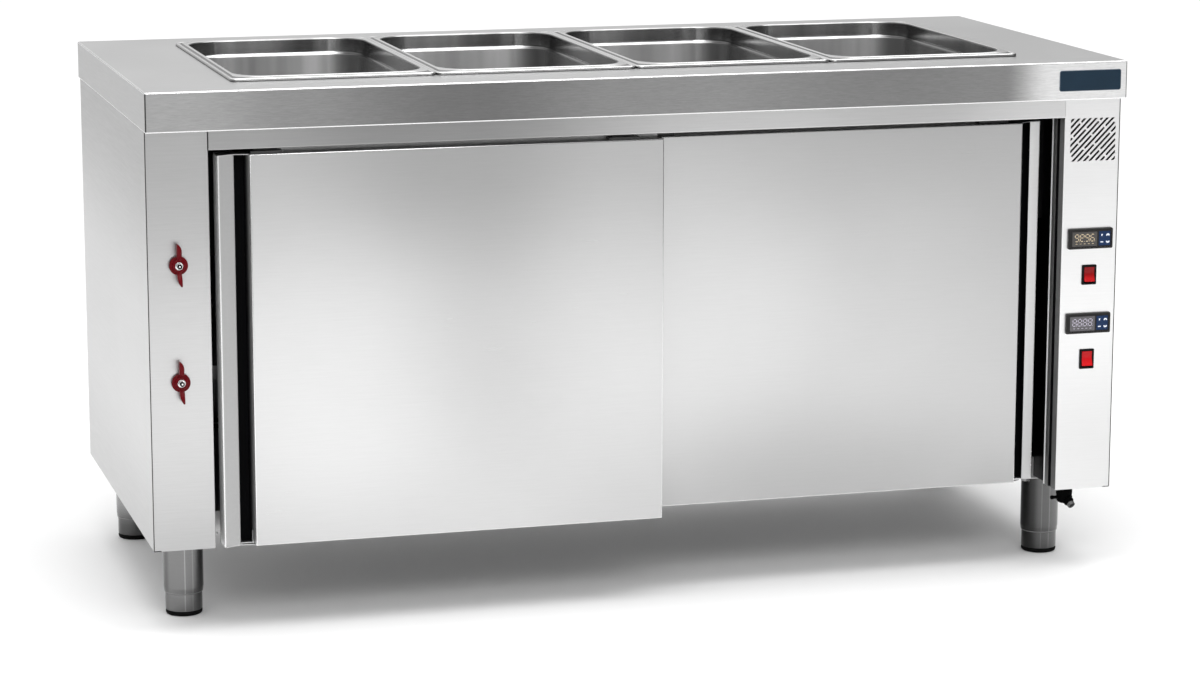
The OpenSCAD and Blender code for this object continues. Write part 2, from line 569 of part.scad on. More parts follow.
worktop();
water_tank();
pan_bars();
side_panel_left();
side_panel_right();
column_panel_left();
control_panel();
column_wall_left();
column_wall_right();
back_panel();
cabinet_floor();
inner_shelf();
ceiling_panel();
front_fascia();
door_track();
lower_guide();
leg_tubes();
leg_bolts();
foot_front_left();
foot_front_right();
foot_back_left();
foot_back_right();
pad_front_left();
pad_front_right();
pad_back_left();
pad_back_right();
valve_bodies();
fill_handle();
drain_handle();
fill_stem();
drain_stem();
fill_pipe();
drain_pipe();
controller_cases();
display_windows();
keypad_upper();
keypad_lower();
rocker_bezels();
rocker_upper();
rocker_lower();
terminal_block();
tank_heater();
cupboard_heater();
pan_1();
pan_2();
pan_3();
pan_4();
door_left_outer();
door_left_inner();
door_left_hangers();
door_left_roller_a();
door_left_roller_b();
door_right_outer();
door_right_inner();
door_right_hangers();
door_right_roller_a();
door_right_roller_b();
gland_body();
gland_nut();
badge_plate();
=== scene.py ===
import math

import bmesh
import bpy
from mathutils import Matrix, Vector


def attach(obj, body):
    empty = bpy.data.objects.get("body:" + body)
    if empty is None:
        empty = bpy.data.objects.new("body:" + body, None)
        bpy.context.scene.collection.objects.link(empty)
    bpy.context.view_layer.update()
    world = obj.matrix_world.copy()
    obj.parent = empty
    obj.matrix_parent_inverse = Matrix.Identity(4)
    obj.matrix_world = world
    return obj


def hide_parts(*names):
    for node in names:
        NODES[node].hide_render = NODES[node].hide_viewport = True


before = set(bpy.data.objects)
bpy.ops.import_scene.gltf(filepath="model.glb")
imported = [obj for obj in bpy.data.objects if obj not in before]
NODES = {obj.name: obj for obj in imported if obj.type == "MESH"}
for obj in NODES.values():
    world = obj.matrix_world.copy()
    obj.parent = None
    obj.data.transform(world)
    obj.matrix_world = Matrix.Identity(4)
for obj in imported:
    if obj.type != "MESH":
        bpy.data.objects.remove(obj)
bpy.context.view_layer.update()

scene = bpy.context.scene

# ---------------------------------------------------------------- coordinates
# Lengths below are millimetres measured from the worktop's front left corner
# at floor level; W() turns them into the row frame in metres.
TOP_W, TOP_D, TOP_H = 1600.0, 730.0, 850.0


def W(x, y, z):
    return Vector(((x - TOP_W / 2) / 1000, (y - TOP_D / 2) / 1000, z / 1000))


# ------------------------------------------------------------------ materials
def new_mat(name):
    m = bpy.data.materials.new(name)
    m.use_nodes = True
    nt = m.node_tree
    b = nt.nodes["Principled BSDF"]
    return m, nt, b


def link(nt, a, b):
    nt.links.new(a, b)


def mapped(nt, scale, kind="Object"):
    tc = nt.nodes.new("ShaderNodeTexCoord")
    mp = nt.nodes.new("ShaderNodeMapping")
    mp.inputs["Scale"].default_value = scale
    link(nt, tc.outputs[kind], mp.inputs["Vector"])
    return mp.outputs["Vector"]


def noise(nt, vec, scale=1.0, detail=4.0, rough=0.6, dist=0.0):
    n = nt.nodes.new("ShaderNodeTexNoise")
    n.inputs["Scale"].default_value = scale
    n.inputs["Detail"].default_value = detail
    n.inputs["Roughness"].default_value = rough
    n.inputs["Distortion"].default_value = dist
    link(nt, vec, n.inputs["Vector"])
    return n.outputs["Fac"]


def ramp(nt, fac, lo, hi, a, b):
    r = nt.nodes.new("ShaderNodeMapRange")
    r.inputs["From Min"].default_value = lo
    r.inputs["From Max"].default_value = hi
    r.inputs["To Min"].default_value = a
    r.inputs["To Max"].default_value = b
    link(nt, fac, r.inputs["Value"])
    return r.outputs["Result"]


def math_node(nt, op, a, b):
    n = nt.nodes.new("ShaderNodeMath")
    n.operation = op
    for i, v in enumerate((a, b)):
        if isinstance(v, (int, float)):
            n.inputs[i].default_value = v
        else:
            link(nt, v, n.inputs[i])
    return n.outputs["Value"]


def tinted(nt, fac, color):
    """color times fac"""
    n = nt.nodes.new("ShaderNodeVectorMath")
    n.operation = "SCALE"
    n.inputs[0].default_value = color
    link(nt, fac, n.inputs["Scale"])
    return n.outputs["Vector"]


def shade_field(nt, field):
    """Painted light and shade: slow tone change over a panel, in object space, in place of the light, shade and
    reflections that fall on it: a list of (axis, from mm, to mm, from tone, to tone).
    """
    tc = nt.nodes.new("ShaderNodeTexCoord")
    sx = nt.nodes.new("ShaderNodeSeparateXYZ")
    link(nt, tc.outputs["Object"], sx.inputs["Vector"])
    out = None
    for axis, p0, p1, t0, t1 in field:
        off = {"X": TOP_W / 2, "Y": TOP_D / 2, "Z": 0}[axis]
        r = nt.nodes.new("ShaderNodeMapRange")
        r.interpolation_type = "SMOOTHSTEP"
        r.inputs["From Min"].default_value = (p0 - off) / 1000
        r.inputs["From Max"].default_value = (p1 - off) / 1000
        r.inputs["To Min"].default_value = t0
        r.inputs["To Max"].default_value = t1
        link(nt, sx.outputs[axis], r.inputs["Value"])
        out = r.outputs["Result"] if out is None else math_node(nt, "MULTIPLY", out, r.outputs["Result"])
    return out


def pan_field(nt, field):
    """Painted reflections and shade across each pan, from its left rim (0) to its right rim (1): a list of (from, to,
    from tone, to tone).
    """
    tc = nt.nodes.new("ShaderNodeTexCoord")
    sx = nt.nodes.new("ShaderNodeSeparateXYZ")
    link(nt, tc.outputs["Object"], sx.inputs["Vector"])
    u = math_node(nt, "FRACT", math_node(nt, "DIVIDE", math_node(nt, "ADD", sx.outputs["X"], 0.65075), 0.3255), 0.0)
    out = None
    for p0, p1, t0, t1 in field:
        r = nt.nodes.new("ShaderNodeMapRange")
        r.interpolation_type = "SMOOTHSTEP"
        r.inputs["From Min"].default_value = p0
        r.inputs["From Max"].default_value = p1
        r.inputs["To Min"].default_value = t0
        r.inputs["To Max"].default_value = t1
        link(nt, u, r.inputs["Value"])
        out = r.outputs["Result"] if out is None else math_node(nt, "MULTIPLY", out, r.outputs["Result"])
    return out


def soft_patches(nt, patches):
    """Painted reflections: soft round areas of lighter or darker tone: (x, z, half width, half height, amount) in mm,
    seen from the front.
    """
    tc = nt.nodes.new("ShaderNodeTexCoord")
    out = None
    for x, z, rx, rz, amount in patches:
        mp = nt.nodes.new("ShaderNodeMapping")
        sx, sz = 1000 / rx, 1000 / rz
        mp.inputs["Scale"].default_value = (sx, 0, sz)
        mp.inputs["Location"].default_value = (-(x - TOP_W / 2) / rx, 0, -z / rz)
        link(nt, tc.outputs["Object"], mp.inputs["Vector"])
        ln = nt.nodes.new("ShaderNodeVectorMath")
        ln.operation = "LENGTH"
        link(nt, mp.outputs["Vector"], ln.inputs[0])
        r = nt.nodes.new("ShaderNodeMapRange")
        r.interpolation_type = "SMOOTHERSTEP"
        r.inputs["From Min"].default_value = 0.0
        r.inputs["From Max"].default_value = 1.0
        r.inputs["To Min"].default_value = 1 + amount
        r.inputs["To Max"].default_value = 1.0
        link(nt, ln.outputs["Value"], r.inputs["Value"])
        out = r.outputs["Result"] if out is None else math_node(nt, "MULTIPLY", out, r.outputs["Result"])
    return out


def steel(name, base, rough, coarse, fine, grain=0.05, bump=0.10, aniso=0.0, cloud=0.04, spread=0.05, field=None, patches=None, across=None, warm=1.0, metal=1.0):
    """Brushed or drawn stainless steel. coarse and fine are the grain's frequencies along X, Y and Z, per metre. field,
    patches and across paint light, shade and reflections into the colour.
    """
    m, nt, b = new_mat(name)
    g1 = noise(nt, mapped(nt, coarse), 1.0, 3.0, 0.55)
    g2 = noise(nt, mapped(nt, fine), 1.0, 2.0, 0.5)
    cl = noise(nt, mapped(nt, (2.3, 2.3, 2.3)), 1.0, 3.0, 0.5, 0.3)
    tone = math_node(nt, "ADD", ramp(nt, g1, 0.25, 0.75, 1 - grain, 1 + grain), ramp(nt, g2, 0.2, 0.8, -grain * 0.6, grain * 0.6))
    tone = math_node(nt, "MULTIPLY", tone, ramp(nt, cl, 0.3, 0.7, 1 - cloud, 1 + cloud))
    if field:
        tone = math_node(nt, "MULTIPLY", tone, shade_field(nt, field))
    if patches:
        tone = math_node(nt, "MULTIPLY", tone, soft_patches(nt, patches))
    if across:
        tone = math_node(nt, "MULTIPLY", tone, pan_field(nt, across))
    link(nt, tinted(nt, tone, (base * warm, base, base / warm)), b.inputs["Base Color"])
    r = math_node(nt, "ADD", ramp(nt, g1, 0.25, 0.75, rough - spread, rough + spread), ramp(nt, cl, 0.3, 0.7, -0.02, 0.02))
    link(nt, r, b.inputs["Roughness"])
    b.inputs["Metallic"].default_value = metal
    b.inputs["Anisotropic"].default_value = aniso
    if aniso:
        t = nt.nodes.new("ShaderNodeTangent")
        t.direction_type = "RADIAL"
        t.axis = "Z"
        link(nt, t.outputs["Tangent"], b.inputs["Tangent"])
    bp = nt.nodes.new("ShaderNodeBump")
    bp.inputs["Strength"].default_value = bump
    bp.inputs["Distance"].default_value = 0.0004
    h = math_node(nt, "ADD", g1, math_node(nt, "MULTIPLY", g2, 0.6))
    link(nt, h, bp.inputs["Height"])
    link(nt, bp.outputs["Normal"], b.inputs["Normal"])
    return m


def plain(name, color, rough, metallic=0.0, speck=0.06, freq=900.0, bump=0.08, coat=0.0, coat_rough=0.1, spec=0.5, cloud=0.05, field=None):
    """Moulded, painted or cast surface with a fine texture. field paints light and shade into the colour."""
    m, nt, b = new_mat(name)
    g = noise(nt, mapped(nt, (freq, freq, freq)), 1.0, 3.0, 0.6)
    cl = noise(nt, mapped(nt, (30.0, 30.0, 30.0)), 1.0, 3.0, 0.5)
    tone = math_node(nt, "MULTIPLY", ramp(nt, g, 0.25, 0.75, 1 - speck, 1 + speck), ramp(nt, cl, 0.3, 0.7, 1 - cloud, 1 + cloud))
    if field:
        tone = math_node(nt, "MULTIPLY", tone, shade_field(nt, field))
    link(nt, tinted(nt, tone, color), b.inputs["Base Color"])
    link(nt, ramp(nt, g, 0.25, 0.75, max(rough - 0.05, 0.02), rough + 0.05), b.inputs["Roughness"])
    b.inputs["Metallic"].default_value = metallic
    b.inputs["Specular IOR Level"].default_value = spec
    b.inputs["Coat Weight"].default_value = coat
    b.inputs["Coat Roughness"].default_value = coat_rough
    bp = nt.nodes.new("ShaderNodeBump")
    bp.inputs["Strength"].default_value = bump
    bp.inputs["Distance"].default_value = 0.0003
    link(nt, g, bp.inputs["Height"])
    link(nt, bp.outputs["Normal"], b.inputs["Normal"])
    return m


# grain along X on faces that look to the front, the back or up
ALONG_X = ((14, 380, 380), (40, 1500, 1500))
# grain along Y on faces that look sideways
ALONG_Y = ((380, 14, 380), (1500, 40, 1500))
# short strong strokes on the worktop's edge
STROKES = ((70, 900, 900), (160, 2200, 2200))
# turned surfaces: grain round a vertical axis
TURNED = ((7, 7, 500), (20, 20, 2600))

M = {}
M["front"] = steel("steel_front", 0.52, 0.33, *ALONG_X, grain=0.035, bump=0.05, aniso=0.45)
# painted reflections: the soft lighter and darker patches on both doors stand in for reflections of the room
M["door_l"] = steel("steel_door_left", 0.51, 0.33, *ALONG_X, grain=0.022, bump=0.04, aniso=0.45,
                    patches=[(250, 430, 420, 380, 0.34), (760, 440, 330, 330, 0.26), (480, 760, 330, 300, -0.22), (420, 180, 600, 260, 0.14)])
M["door_r"] = steel("steel_door_right", 0.53, 0.33, *ALONG_X, grain=0.022, bump=0.04, aniso=0.45,
                    patches=[(1420, 95, 130, 150, -0.14), (790, 110, 140, 150, -0.11), (860, 470, 380, 380, 0.22), (1180, 470, 420, 330, 0.10), (1250, 780, 480, 260, -0.08), (1130, 120, 700, 260, -0.24)])
# painted light: the control panel's steel is set much lighter than the same steel elsewhere, and darker towards the
# bottom as painted shade
M["column_r"] = steel("steel_control_panel", 0.85, 0.32, *ALONG_X, grain=0.02, bump=0.03, aniso=0.4, field=[("Z", 200, 450, 0.80, 1.0)])
# painted shade: a darker copy of the control panel steel for the fold's sides inside the door gap
M["column_r_fold"] = steel("steel_control_panel_fold_painted_shade", 0.26, 0.40, *ALONG_X, grain=0.03, bump=0.04)
# painted highlight: a near-white, non-metallic copy of the steel for the bright strip at the fold's edge in the door
# gap
M["fold_edge"] = steel("steel_fold_edge_painted_highlight", 0.98, 0.50, *ALONG_X, grain=0.02, bump=0.03, metal=0.0)
# painted reflections and shade: lighter and darker bands along the fascia
M["fascia"] = steel("steel_fascia", 0.40, 0.33, *ALONG_X, grain=0.035, bump=0.05, aniso=0.45, field=[("X", 150, 400, 0.93, 0.71), ("X", 500, 922, 1.0, 2.05), ("X", 1000, 1200, 1.0, 0.92), ("X", 1250, 1480, 1.0, 1.30)])
# painted reflections: a lighter patch in the middle of the left column, darker towards top and bottom
M["column_l"] = steel("steel_column_left", 0.465, 0.33, *ALONG_X, grain=0.035, bump=0.05, aniso=0.45,
                      patches=[(49, 400, 400, 330, 0.24), (49, 130, 300, 110, -0.06), (49, 800, 300, 220, -0.06)])
# painted reflections and shade: the worktop's front edge is lighter and darker in bands along its length, near white at
# the right end
M["skirt"] = steel("steel_top_edge", 0.268, 0.36, *STROKES, grain=0.11, bump=0.08, aniso=0.35, cloud=0.05,
                   field=[("X", 60, 220, 1.50, 1.12), ("X", 220, 480, 1.0, 0.60), ("X", 520, 760, 1.0, 1.62), ("X", 760, 860, 1.0, 0.97), ("X", 860, 1150, 1.0, 0.80),
                          ("X", 1200, 1380, 1.0, 1.12), ("X", 760, 920, 1.0, 1.12), ("X", 1385, 1470, 1.0, 2.95)])
# painted light: a slight lightening towards the right end
M["top"] = steel("steel_top", 0.50, 0.34, *ALONG_X, grain=0.03, bump=0.05, field=[("X", 1100, 1600, 1.0, 1.02)])
# painted light and shade: the side panels' steel is set lighter than the front, and darkens towards the top and towards
# the bottom
M["side"] = steel("steel_side", 0.62, 0.36, *ALONG_Y, grain=0.02, bump=0.04, aniso=0.3,
                  field=[("Z", 480, 788, 1.0, 0.62), ("Z", 150, 350, 0.84, 1.0)])
# the skirt's short side faces: grain along Y, and a lighter tone than the front edge as painted light
M["skirt_side"] = steel("steel_top_edge_side", 0.423, 0.36, *ALONG_Y, grain=0.03, bump=0.05, aniso=0.3)
# painted light and shade: the two door lips are lighter and darker copies of one steel, the right one darker towards
# the bottom
M["lip"] = steel("steel_lip", 0.44, 0.36, *ALONG_X, grain=0.03, bump=0.04)
M["lip_r"] = steel("steel_lip_right", 0.70, 0.36, *ALONG_X, grain=0.03, bump=0.04, field=[("Z", 130, 480, 0.74, 1.0)])
# painted light: a light, mostly non-metallic copy of the steel for the doors' outer channel walls inside the gap
M["door_side"] = steel("steel_door_side_painted_light", 0.90, 0.50, *ALONG_Y, grain=0.03, bump=0.04, metal=0.3)
# painted shade: near-black colour on the floor and inner walls of the doors' hand channels and in the control panel's
# groove, where there is only shade
M["recess"] = plain("recess_painted_shade", (0.003, 0.003, 0.0035), 0.60, speck=0.12, freq=900, bump=0.10, spec=0.03)
# painted shade: the slanted edge darkens to near black going back into the channel
M["slant"] = steel("steel_slanted_edge", 0.62, 0.42, *ALONG_Y, grain=0.02, bump=0.03, metal=0.8, field=[("Y", 18, 50, 1.45, 0.04)])
M["shade"] = steel("steel_in_shade", 0.10, 0.45, *ALONG_X, grain=0.04, bump=0.05)
# painted shade: a dark line on the worktop's rounded corners and on the side panels' front edges where they meet the
# columns
M["seam"] = steel("steel_seam_line", 0.07, 0.45, *ALONG_X, grain=0.04, bump=0.05)
# painted shade: the door track is made near black, as it sits in shade above the doors
M["track"] = steel("steel_track_painted_shade", 0.05, 0.45, *ALONG_X, grain=0.04, bump=0.05)
# painted highlight: a lighter, glossier copy of the steel on the rounded folds and edges
M["fold"] = steel("steel_fold", 0.80, 0.22, *ALONG_X, grain=0.02, bump=0.02)
# painted reflections and shade in the pans: darker and lighter bands across each pan and a bright streak; the lower
# wall is a less metallic copy of the steel so that it looks lighter
M["pan"] = steel("steel_pan", 0.42, 0.17, (16, 16, 0.5), (70, 70, 2), grain=0.22, bump=0.02, spread=0.04, cloud=0.12, metal=0.92,
                 across=[(0.06, 0.26, 0.45, 1.0), (0.50, 0.66, 1.0, 0.72), (0.70, 0.75, 1.0, 1.7), (0.80, 0.90, 1.0, 0.30)])
M["pan_low"] = steel("steel_pan_wall", 0.40, 0.22, (10, 10, 0.4), (44, 44, 1.5), grain=0.28, bump=0.02, spread=0.04, cloud=0.10, metal=0.66,
                     across=[(0.10, 0.40, 1.45, 1.25), (0.60, 0.68, 1.0, 1.25), (0.74, 0.90, 1.0, 0.22)])
# painted highlight: a lighter copy of the steel along the stacking shoulder, fading out over the right third
M["pan_shoulder"] = steel("steel_pan_shoulder_painted_highlight", 0.60, 0.20, (8, 8, 2), (60, 60, 10), grain=0.25, bump=0.02, across=[(0.12, 0.25, 0.6, 1.15), (0.76, 0.90, 1.0, 0.18)])
# painted highlight on the rim's bead and crest, painted shade in the valley between them
M["pan_rim"] = steel("steel_pan_rim_painted_highlight", 0.66, 0.18, (20, 20, 20), (300, 300, 300), grain=0.02, bump=0.02)
M["pan_edge"] = steel("steel_pan_edge", 0.40, 0.26, (20, 20, 20), (300, 300, 300), grain=0.03, bump=0.02)
M["pan_valley"] = steel("steel_pan_valley_painted_shade", 0.16, 0.22, (20, 20, 20), (300, 300, 300), grain=0.03, bump=0.02)
M["pan_gap"] = plain("pan_shadow_gap", (0.020, 0.020, 0.021), 0.55, speck=0.12, freq=900, bump=0.10, spec=0.1)
M["inner"] = steel("steel_inner", 0.46, 0.38, *ALONG_X, grain=0.035, bump=0.05)
# painted shade: the ceiling panel goes near black along its front edge
M["inner_top"] = steel("steel_inner_top", 0.46, 0.38, *ALONG_X, grain=0.035, bump=0.05, field=[("Y", 110, 122, 0.03, 1.0)])
M["inner_side"] = steel("steel_inner_side", 0.46, 0.38, *ALONG_Y, grain=0.035, bump=0.05)
# painted shade: the right column wall goes near black towards the front
M["wall_right"] = steel("steel_wall_right", 0.46, 0.38, *ALONG_Y, grain=0.035, bump=0.05, field=[("Y", 122, 132, 0.02, 1.0)])
# painted reflections and shade on the legs: dark and bright vertical stripes on the front left and right legs, the back
# left leg darker towards the floor, and each leg group a lighter or darker copy of one steel
M["leg"] = steel("steel_leg", 0.205, 0.20, *TURNED, grain=0.05, bump=0.05, aniso=0.3,
                 field=[("X", 37, 43, 0.50, 1.0), ("X", 30, 60, 1.10, 0.94), ("X", 63.8, 64.6, 1.0, 1.6), ("X", 65.4, 66.4, 1.0, 0.58), ("X", 76.3, 77.2, 1.0, 1.35), ("X", 78.2, 79.2, 1.0, 0.70), ("X", 79, 92, 1.0, 0.55)])
# painted highlight: a lighter copy of the leg steel on the tube's lower chamfer
M["leg_edge"] = steel("steel_leg_edge_painted_highlight", 0.30, 0.30, (60, 60, 60), (500, 500, 500), grain=0.03, bump=0.03)
M["leg_bl"] = steel("steel_leg_back_left", 0.25, 0.20, *TURNED, grain=0.05, bump=0.05, aniso=0.3, field=[("Z", 20, 70, 0.42, 1.15)])
M["leg_r"] = steel("steel_leg_right", 0.108, 0.20, *TURNED, grain=0.05, bump=0.05, aniso=0.3,
                   field=[("X", 1510, 1521, 0.46, 1.0), ("X", 1522.8, 1523.5, 1.0, 1.4), ("X", 1524.3, 1525.2, 1.0, 0.73), ("X", 1530, 1552, 1.0, 1.42),
                          ("X", 1536.6, 1537.4, 1.0, 1.5), ("X", 1538.4, 1539.4, 1.0, 0.68)])
M["bright"] = steel("steel_bright", 0.72, 0.16, (60, 60, 60), (500, 500, 500), grain=0.03, bump=0.03)
M["pipe"] = steel("steel_pipe", 0.52, 0.30, (300, 300, 300), (900, 900, 900), grain=0.04, bump=0.05)
M["brass"] = plain("brass_cast", (0.60, 0.44, 0.20), 0.34, 1.0, speck=0.08, freq=700, bump=0.15)
M["red_paint"] = plain("handle_lacquer", (0.11, 0.002, 0.005), 0.30, 0.0, speck=0.10, freq=1200, bump=0.10, coat=0.0, coat_rough=0.14, spec=0.10)
# painted shade: the valve's thread is made near black
M["thread"] = plain("steel_thread_painted_shade", (0.004, 0.004, 0.0042), 0.50, speck=0.10, freq=900, bump=0.05, spec=0.05)
M["case"] = plain("case_black", (0.011, 0.0105, 0.0105), 0.42, speck=0.15, freq=2500, bump=0.18, spec=0.28)
M["bezel"] = plain("bezel_black", (0.0045, 0.0045, 0.0045), 0.45, speck=0.15, freq=2500, bump=0.12, spec=0.10)
M["gland"] = plain("gland_black", (0.0015, 0.0015, 0.0016), 0.50, speck=0.15, freq=2000, bump=0.15, spec=0.02)
M["nut"] = plain("gland_nut_grey", (0.10, 0.10, 0.10), 0.40, speck=0.12, freq=2000, bump=0.12)
M["window"] = plain("window_smoked", (0.022, 0.018, 0.014), 0.10, speck=0.05, freq=400, bump=0.01, coat=0.8, coat_rough=0.04)
M["window_low"] = plain("window_smoked_low", (0.060, 0.056, 0.064), 0.10, speck=0.05, freq=400, bump=0.01, coat=0.8, coat_rough=0.04)
M["seg"] = plain("segment_amber", (0.52, 0.42, 0.28), 0.45, speck=0.06, freq=1500, bump=0.04)
M["seg_low"] = plain("segment_grey", (0.46, 0.43, 0.52), 0.45, speck=0.06, freq=1500, bump=0.04)
M["keys"] = plain("keypad_blue", (0.006, 0.026, 0.085), 0.42, speck=0.10, freq=2500, bump=0.15, spec=0.25)
M["icon"] = plain("icon_white", (0.78, 0.82, 0.90), 0.45, speck=0.04, freq=1500, bump=0.04)
# painted shade and light: the rockers are darker towards the top and lighter towards the bottom
M["rocker"] = plain("rocker_red", (0.56, 0.006, 0.010), 0.24, speck=0.04, freq=700, bump=0.02, coat=0.1, coat_rough=0.08, spec=0.15,
                    field=[("Z", 489, 500, 1.25, 0.62), ("Z", 345, 366, 0.85, 0.62)])
M["cream"] = plain("terminal_cream", (0.70, 0.64, 0.50), 0.45, speck=0.05, freq=1500, bump=0.10)
M["element"] = plain("element_sheath", (0.13, 0.115, 0.105), 0.50, 1.0, speck=0.18, freq=500, bump=0.25, cloud=0.2)
M["nylon"] = plain("nylon_white", (0.72, 0.72, 0.69), 0.40, speck=0.04, freq=1500, bump=0.08)
M["guide"] = plain("guide_black", (0.03, 0.03, 0.03), 0.42, speck=0.12, freq=1800, bump=0.12)
M["rubber"] = plain("pad_rubber", (0.004, 0.004, 0.004), 0.62, speck=0.20, freq=1800, bump=0.25, spec=0.06)
M["navy"] = plain("plate_navy", (0.009, 0.024, 0.042), 0.34, speck=0.05, freq=2200, bump=0.05, coat=0.05, coat_rough=0.18, spec=0.15)
M["plate_edge"] = plain("plate_edge", (0.10, 0.13, 0.17), 0.35, 0.6, speck=0.05, freq=1500, bump=0.04)


# ----------------------------------------------------------------- mesh tools
class Build:
    """Collects closed shells in millimetres of the CAD's own measuring corner."""

    def __init__(self, to=W):
        self.v, self.f, self.m, self.to = [], [], [], to

    def add(self, verts, faces, mat=0):
        k = len(self.v)
        self.v += [self.to(*p) for p in verts]
        for i, f in enumerate(faces):
            self.f.append([k + j for j in f])
            self.m.append(mat[i] if isinstance(mat, (list, tuple)) else mat)

    def loops(self, rows, mats=0, closed=False, cap0=False, cap1=False, capmat=None):
        """rows of equal length, joined into quads. mats is one index, or one for each step between rows."""
        n = len(rows[0])
        verts = [p for r in rows for p in r]
        faces, fm = [], []
        steps = len(rows) if closed else len(rows) - 1
        for i in range(steps):
            a, b = i * n, ((i + 1) % len(rows)) * n
            for j in range(n):
                faces.append([a + j, a + (j + 1) % n, b + (j + 1) % n, b + j])
                fm.append(mats[i] if isinstance(mats, (list, tuple)) else mats)
        cm = capmat if capmat is not None else (mats[0] if isinstance(mats, (list, tuple)) else mats)
        if cap0:
            faces.append(list(range(n))[::-1]); fm.append(cm)
        if cap1:
            k = (len(rows) - 1) * n
            faces.append([k + j for j in range(n)]); fm.append(cm)
        self.add(verts, faces, fm)

    def bm(self, bm, mat=0):
        """takes a bmesh in millimetres"""
        bm.verts.ensure_lookup_table()
        idx = {v: i for i, v in enumerate(bm.verts)}
        self.add([tuple(v.co) for v in bm.verts], [[idx[v] for v in f.verts] for f in bm.faces],
                 [f.material_index + mat for f in bm.faces])
        bm.free()


def piece(name, b, body, mats, replaces=(), sharp=40, wn=True, merge=2e-7):
    me = bpy.data.meshes.new(name)
    me.from_pydata([tuple(v) for v in b.v], [], b.f)
    for m in mats:
        me.materials.append(m)
    me.polygons.foreach_set("material_index", b.m)
    bm = bmesh.new()
    bm.from_mesh(me)
    bmesh.ops.remove_doubles(bm, verts=bm.verts, dist=merge)
    bmesh.ops.recalc_face_normals(bm, faces=bm.faces)
    bm.to_mesh(me)
    bm.free()
    me.shade_smooth()
    me.set_sharp_from_angle(angle=math.radians(sharp))
    ob = bpy.data.objects.new(name, me)
    scene.collection.objects.link(ob)
    if wn:
        mod = ob.modifiers.new("even", "WEIGHTED_NORMAL")
        mod.keep_sharp = True
        mod.weight = 60
    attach(ob, body)
    if replaces:
        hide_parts(*replaces)
    return ob


def rrect(x0, x1, y0, y1, r, seg=6):
    """corner points of a rounded rectangle, counter-clockwise, 4 * (seg + 1) of them"""
    r = max(min(r, (x1 - x0) / 2 - 1e-3, (y1 - y0) / 2 - 1e-3), 1e-3)
    out = []
    for cx, cy, a0 in ((x1 - r, y1 - r, 0), (x0 + r, y1 - r, 90), (x0 + r, y0 + r, 180), (x1 - r, y0 + r, 270)):
        for i in range(seg + 1):
            a = math.radians(a0 + 90 * i / seg)
            out.append((cx + r * math.cos(a), cy + r * math.sin(a)))
    return out


def rloop(x0, x1, y0, y1, z, r, seg=6):
    return [(x, y, z) for x, y in rrect(x0, x1, y0, y1, r, seg)]


def box_bm(x0, x1, y0, y1, z0, z1, bevel=0.0, seg=2, pick=None):
    bm = bmesh.new()
    bmesh.ops.create_cube(bm, size=1)
    for v in bm.verts:
        v.co = Vector((x0 if v.co.x < 0 else x1, y0 if v.co.y < 0 else y1, z0 if v.co.z < 0 else z1))
    if bevel:
        es = [e for e in bm.edges if pick is None or pick(*(v.co for v in e.verts))]
        bmesh.ops.bevel(bm, geom=es, offset=bevel, segments=seg, profile=0.5, affect="EDGES", clamp_overlap=True)
    return bm


def prism_bm(outline, lo, hi, axis="Z", bevel=0.0, seg=3, pick=None):
    """outline in the two axes other than axis (in X, Y, Z order), pushed from lo to hi along axis"""
    put = {"Z": lambda a, b, c: (a, b, c), "Y": lambda a, b, c: (a, c, b), "X": lambda a, b, c: (c, a, b)}[axis]
    bm = bmesh.new()
    n = len(outline)
    lows = [bm.verts.new(put(a, b, lo)) for a, b in outline]
    highs = [bm.verts.new(put(a, b, hi)) for a, b in outline]
    bm.faces.new(lows[::-1])
    bm.faces.new(highs)
    for i in range(n):
        bm.faces.new([lows[i], lows[(i + 1) % n], highs[(i + 1) % n], highs[i]])
    bmesh.ops.recalc_face_normals(bm, faces=bm.faces)
    if bevel:
        es = [e for e in bm.edges if pick is None or pick(*(v.co for v in e.verts))]
        bmesh.ops.bevel(bm, geom=es, offset=bevel, segments=seg, profile=0.5, affect="EDGES", clamp_overlap=True)
    return bm


def sheet_outline(pts, t, R, seg=5):
    """Closed outline of a folded sheet. pts run along one face of it, the material lies to the right, R is the outer fold radius."""
    A, B = [], []
    n = len(pts)
    P = [Vector(p) for p in pts]

    def right(d):
        return Vector((d.y, -d.x))

    for i, p in enumerate(P):
        if i == 0 or i == n - 1:
            d = (P[1] - P[0] if i == 0 else P[-1] - P[-2]).normalized()
            A.append(p.copy()); B.append(p + right(d) * t)
            continue
        d0, d1 = (p - P[i - 1]).normalized(), (P[i + 1] - p).normalized()
        turn = d0.x * d1.y - d0.y * d1.x
        ang = math.acos(max(-1, min(1, d0.dot(d1))))
        if ang < 1e-4:
            A.append(p.copy()); B.append(p + right(d0) * t)
            continue
        r = R if turn < 0 else R - t      # a right turn folds towards the material, so this face is the outer one
        cut = r * math.tan(ang / 2)
        side = 1 if turn < 0 else -1
        c = p - d0 * cut + right(d0) * r * side
        for k in range(seg + 1):
            a = ang * k / seg * (-1 if turn < 0 else 1)
            ca, sa = math.cos(a), math.sin(a)
            d = Vector((d0.x * ca - d0.y * sa, d0.x * sa + d0.y * ca))
            q = c - right(d) * r * side
            A.append(q); B.append(q + right(d) * t)
    return [tuple(q) for q in A] + [tuple(q) for q in B[::-1]]


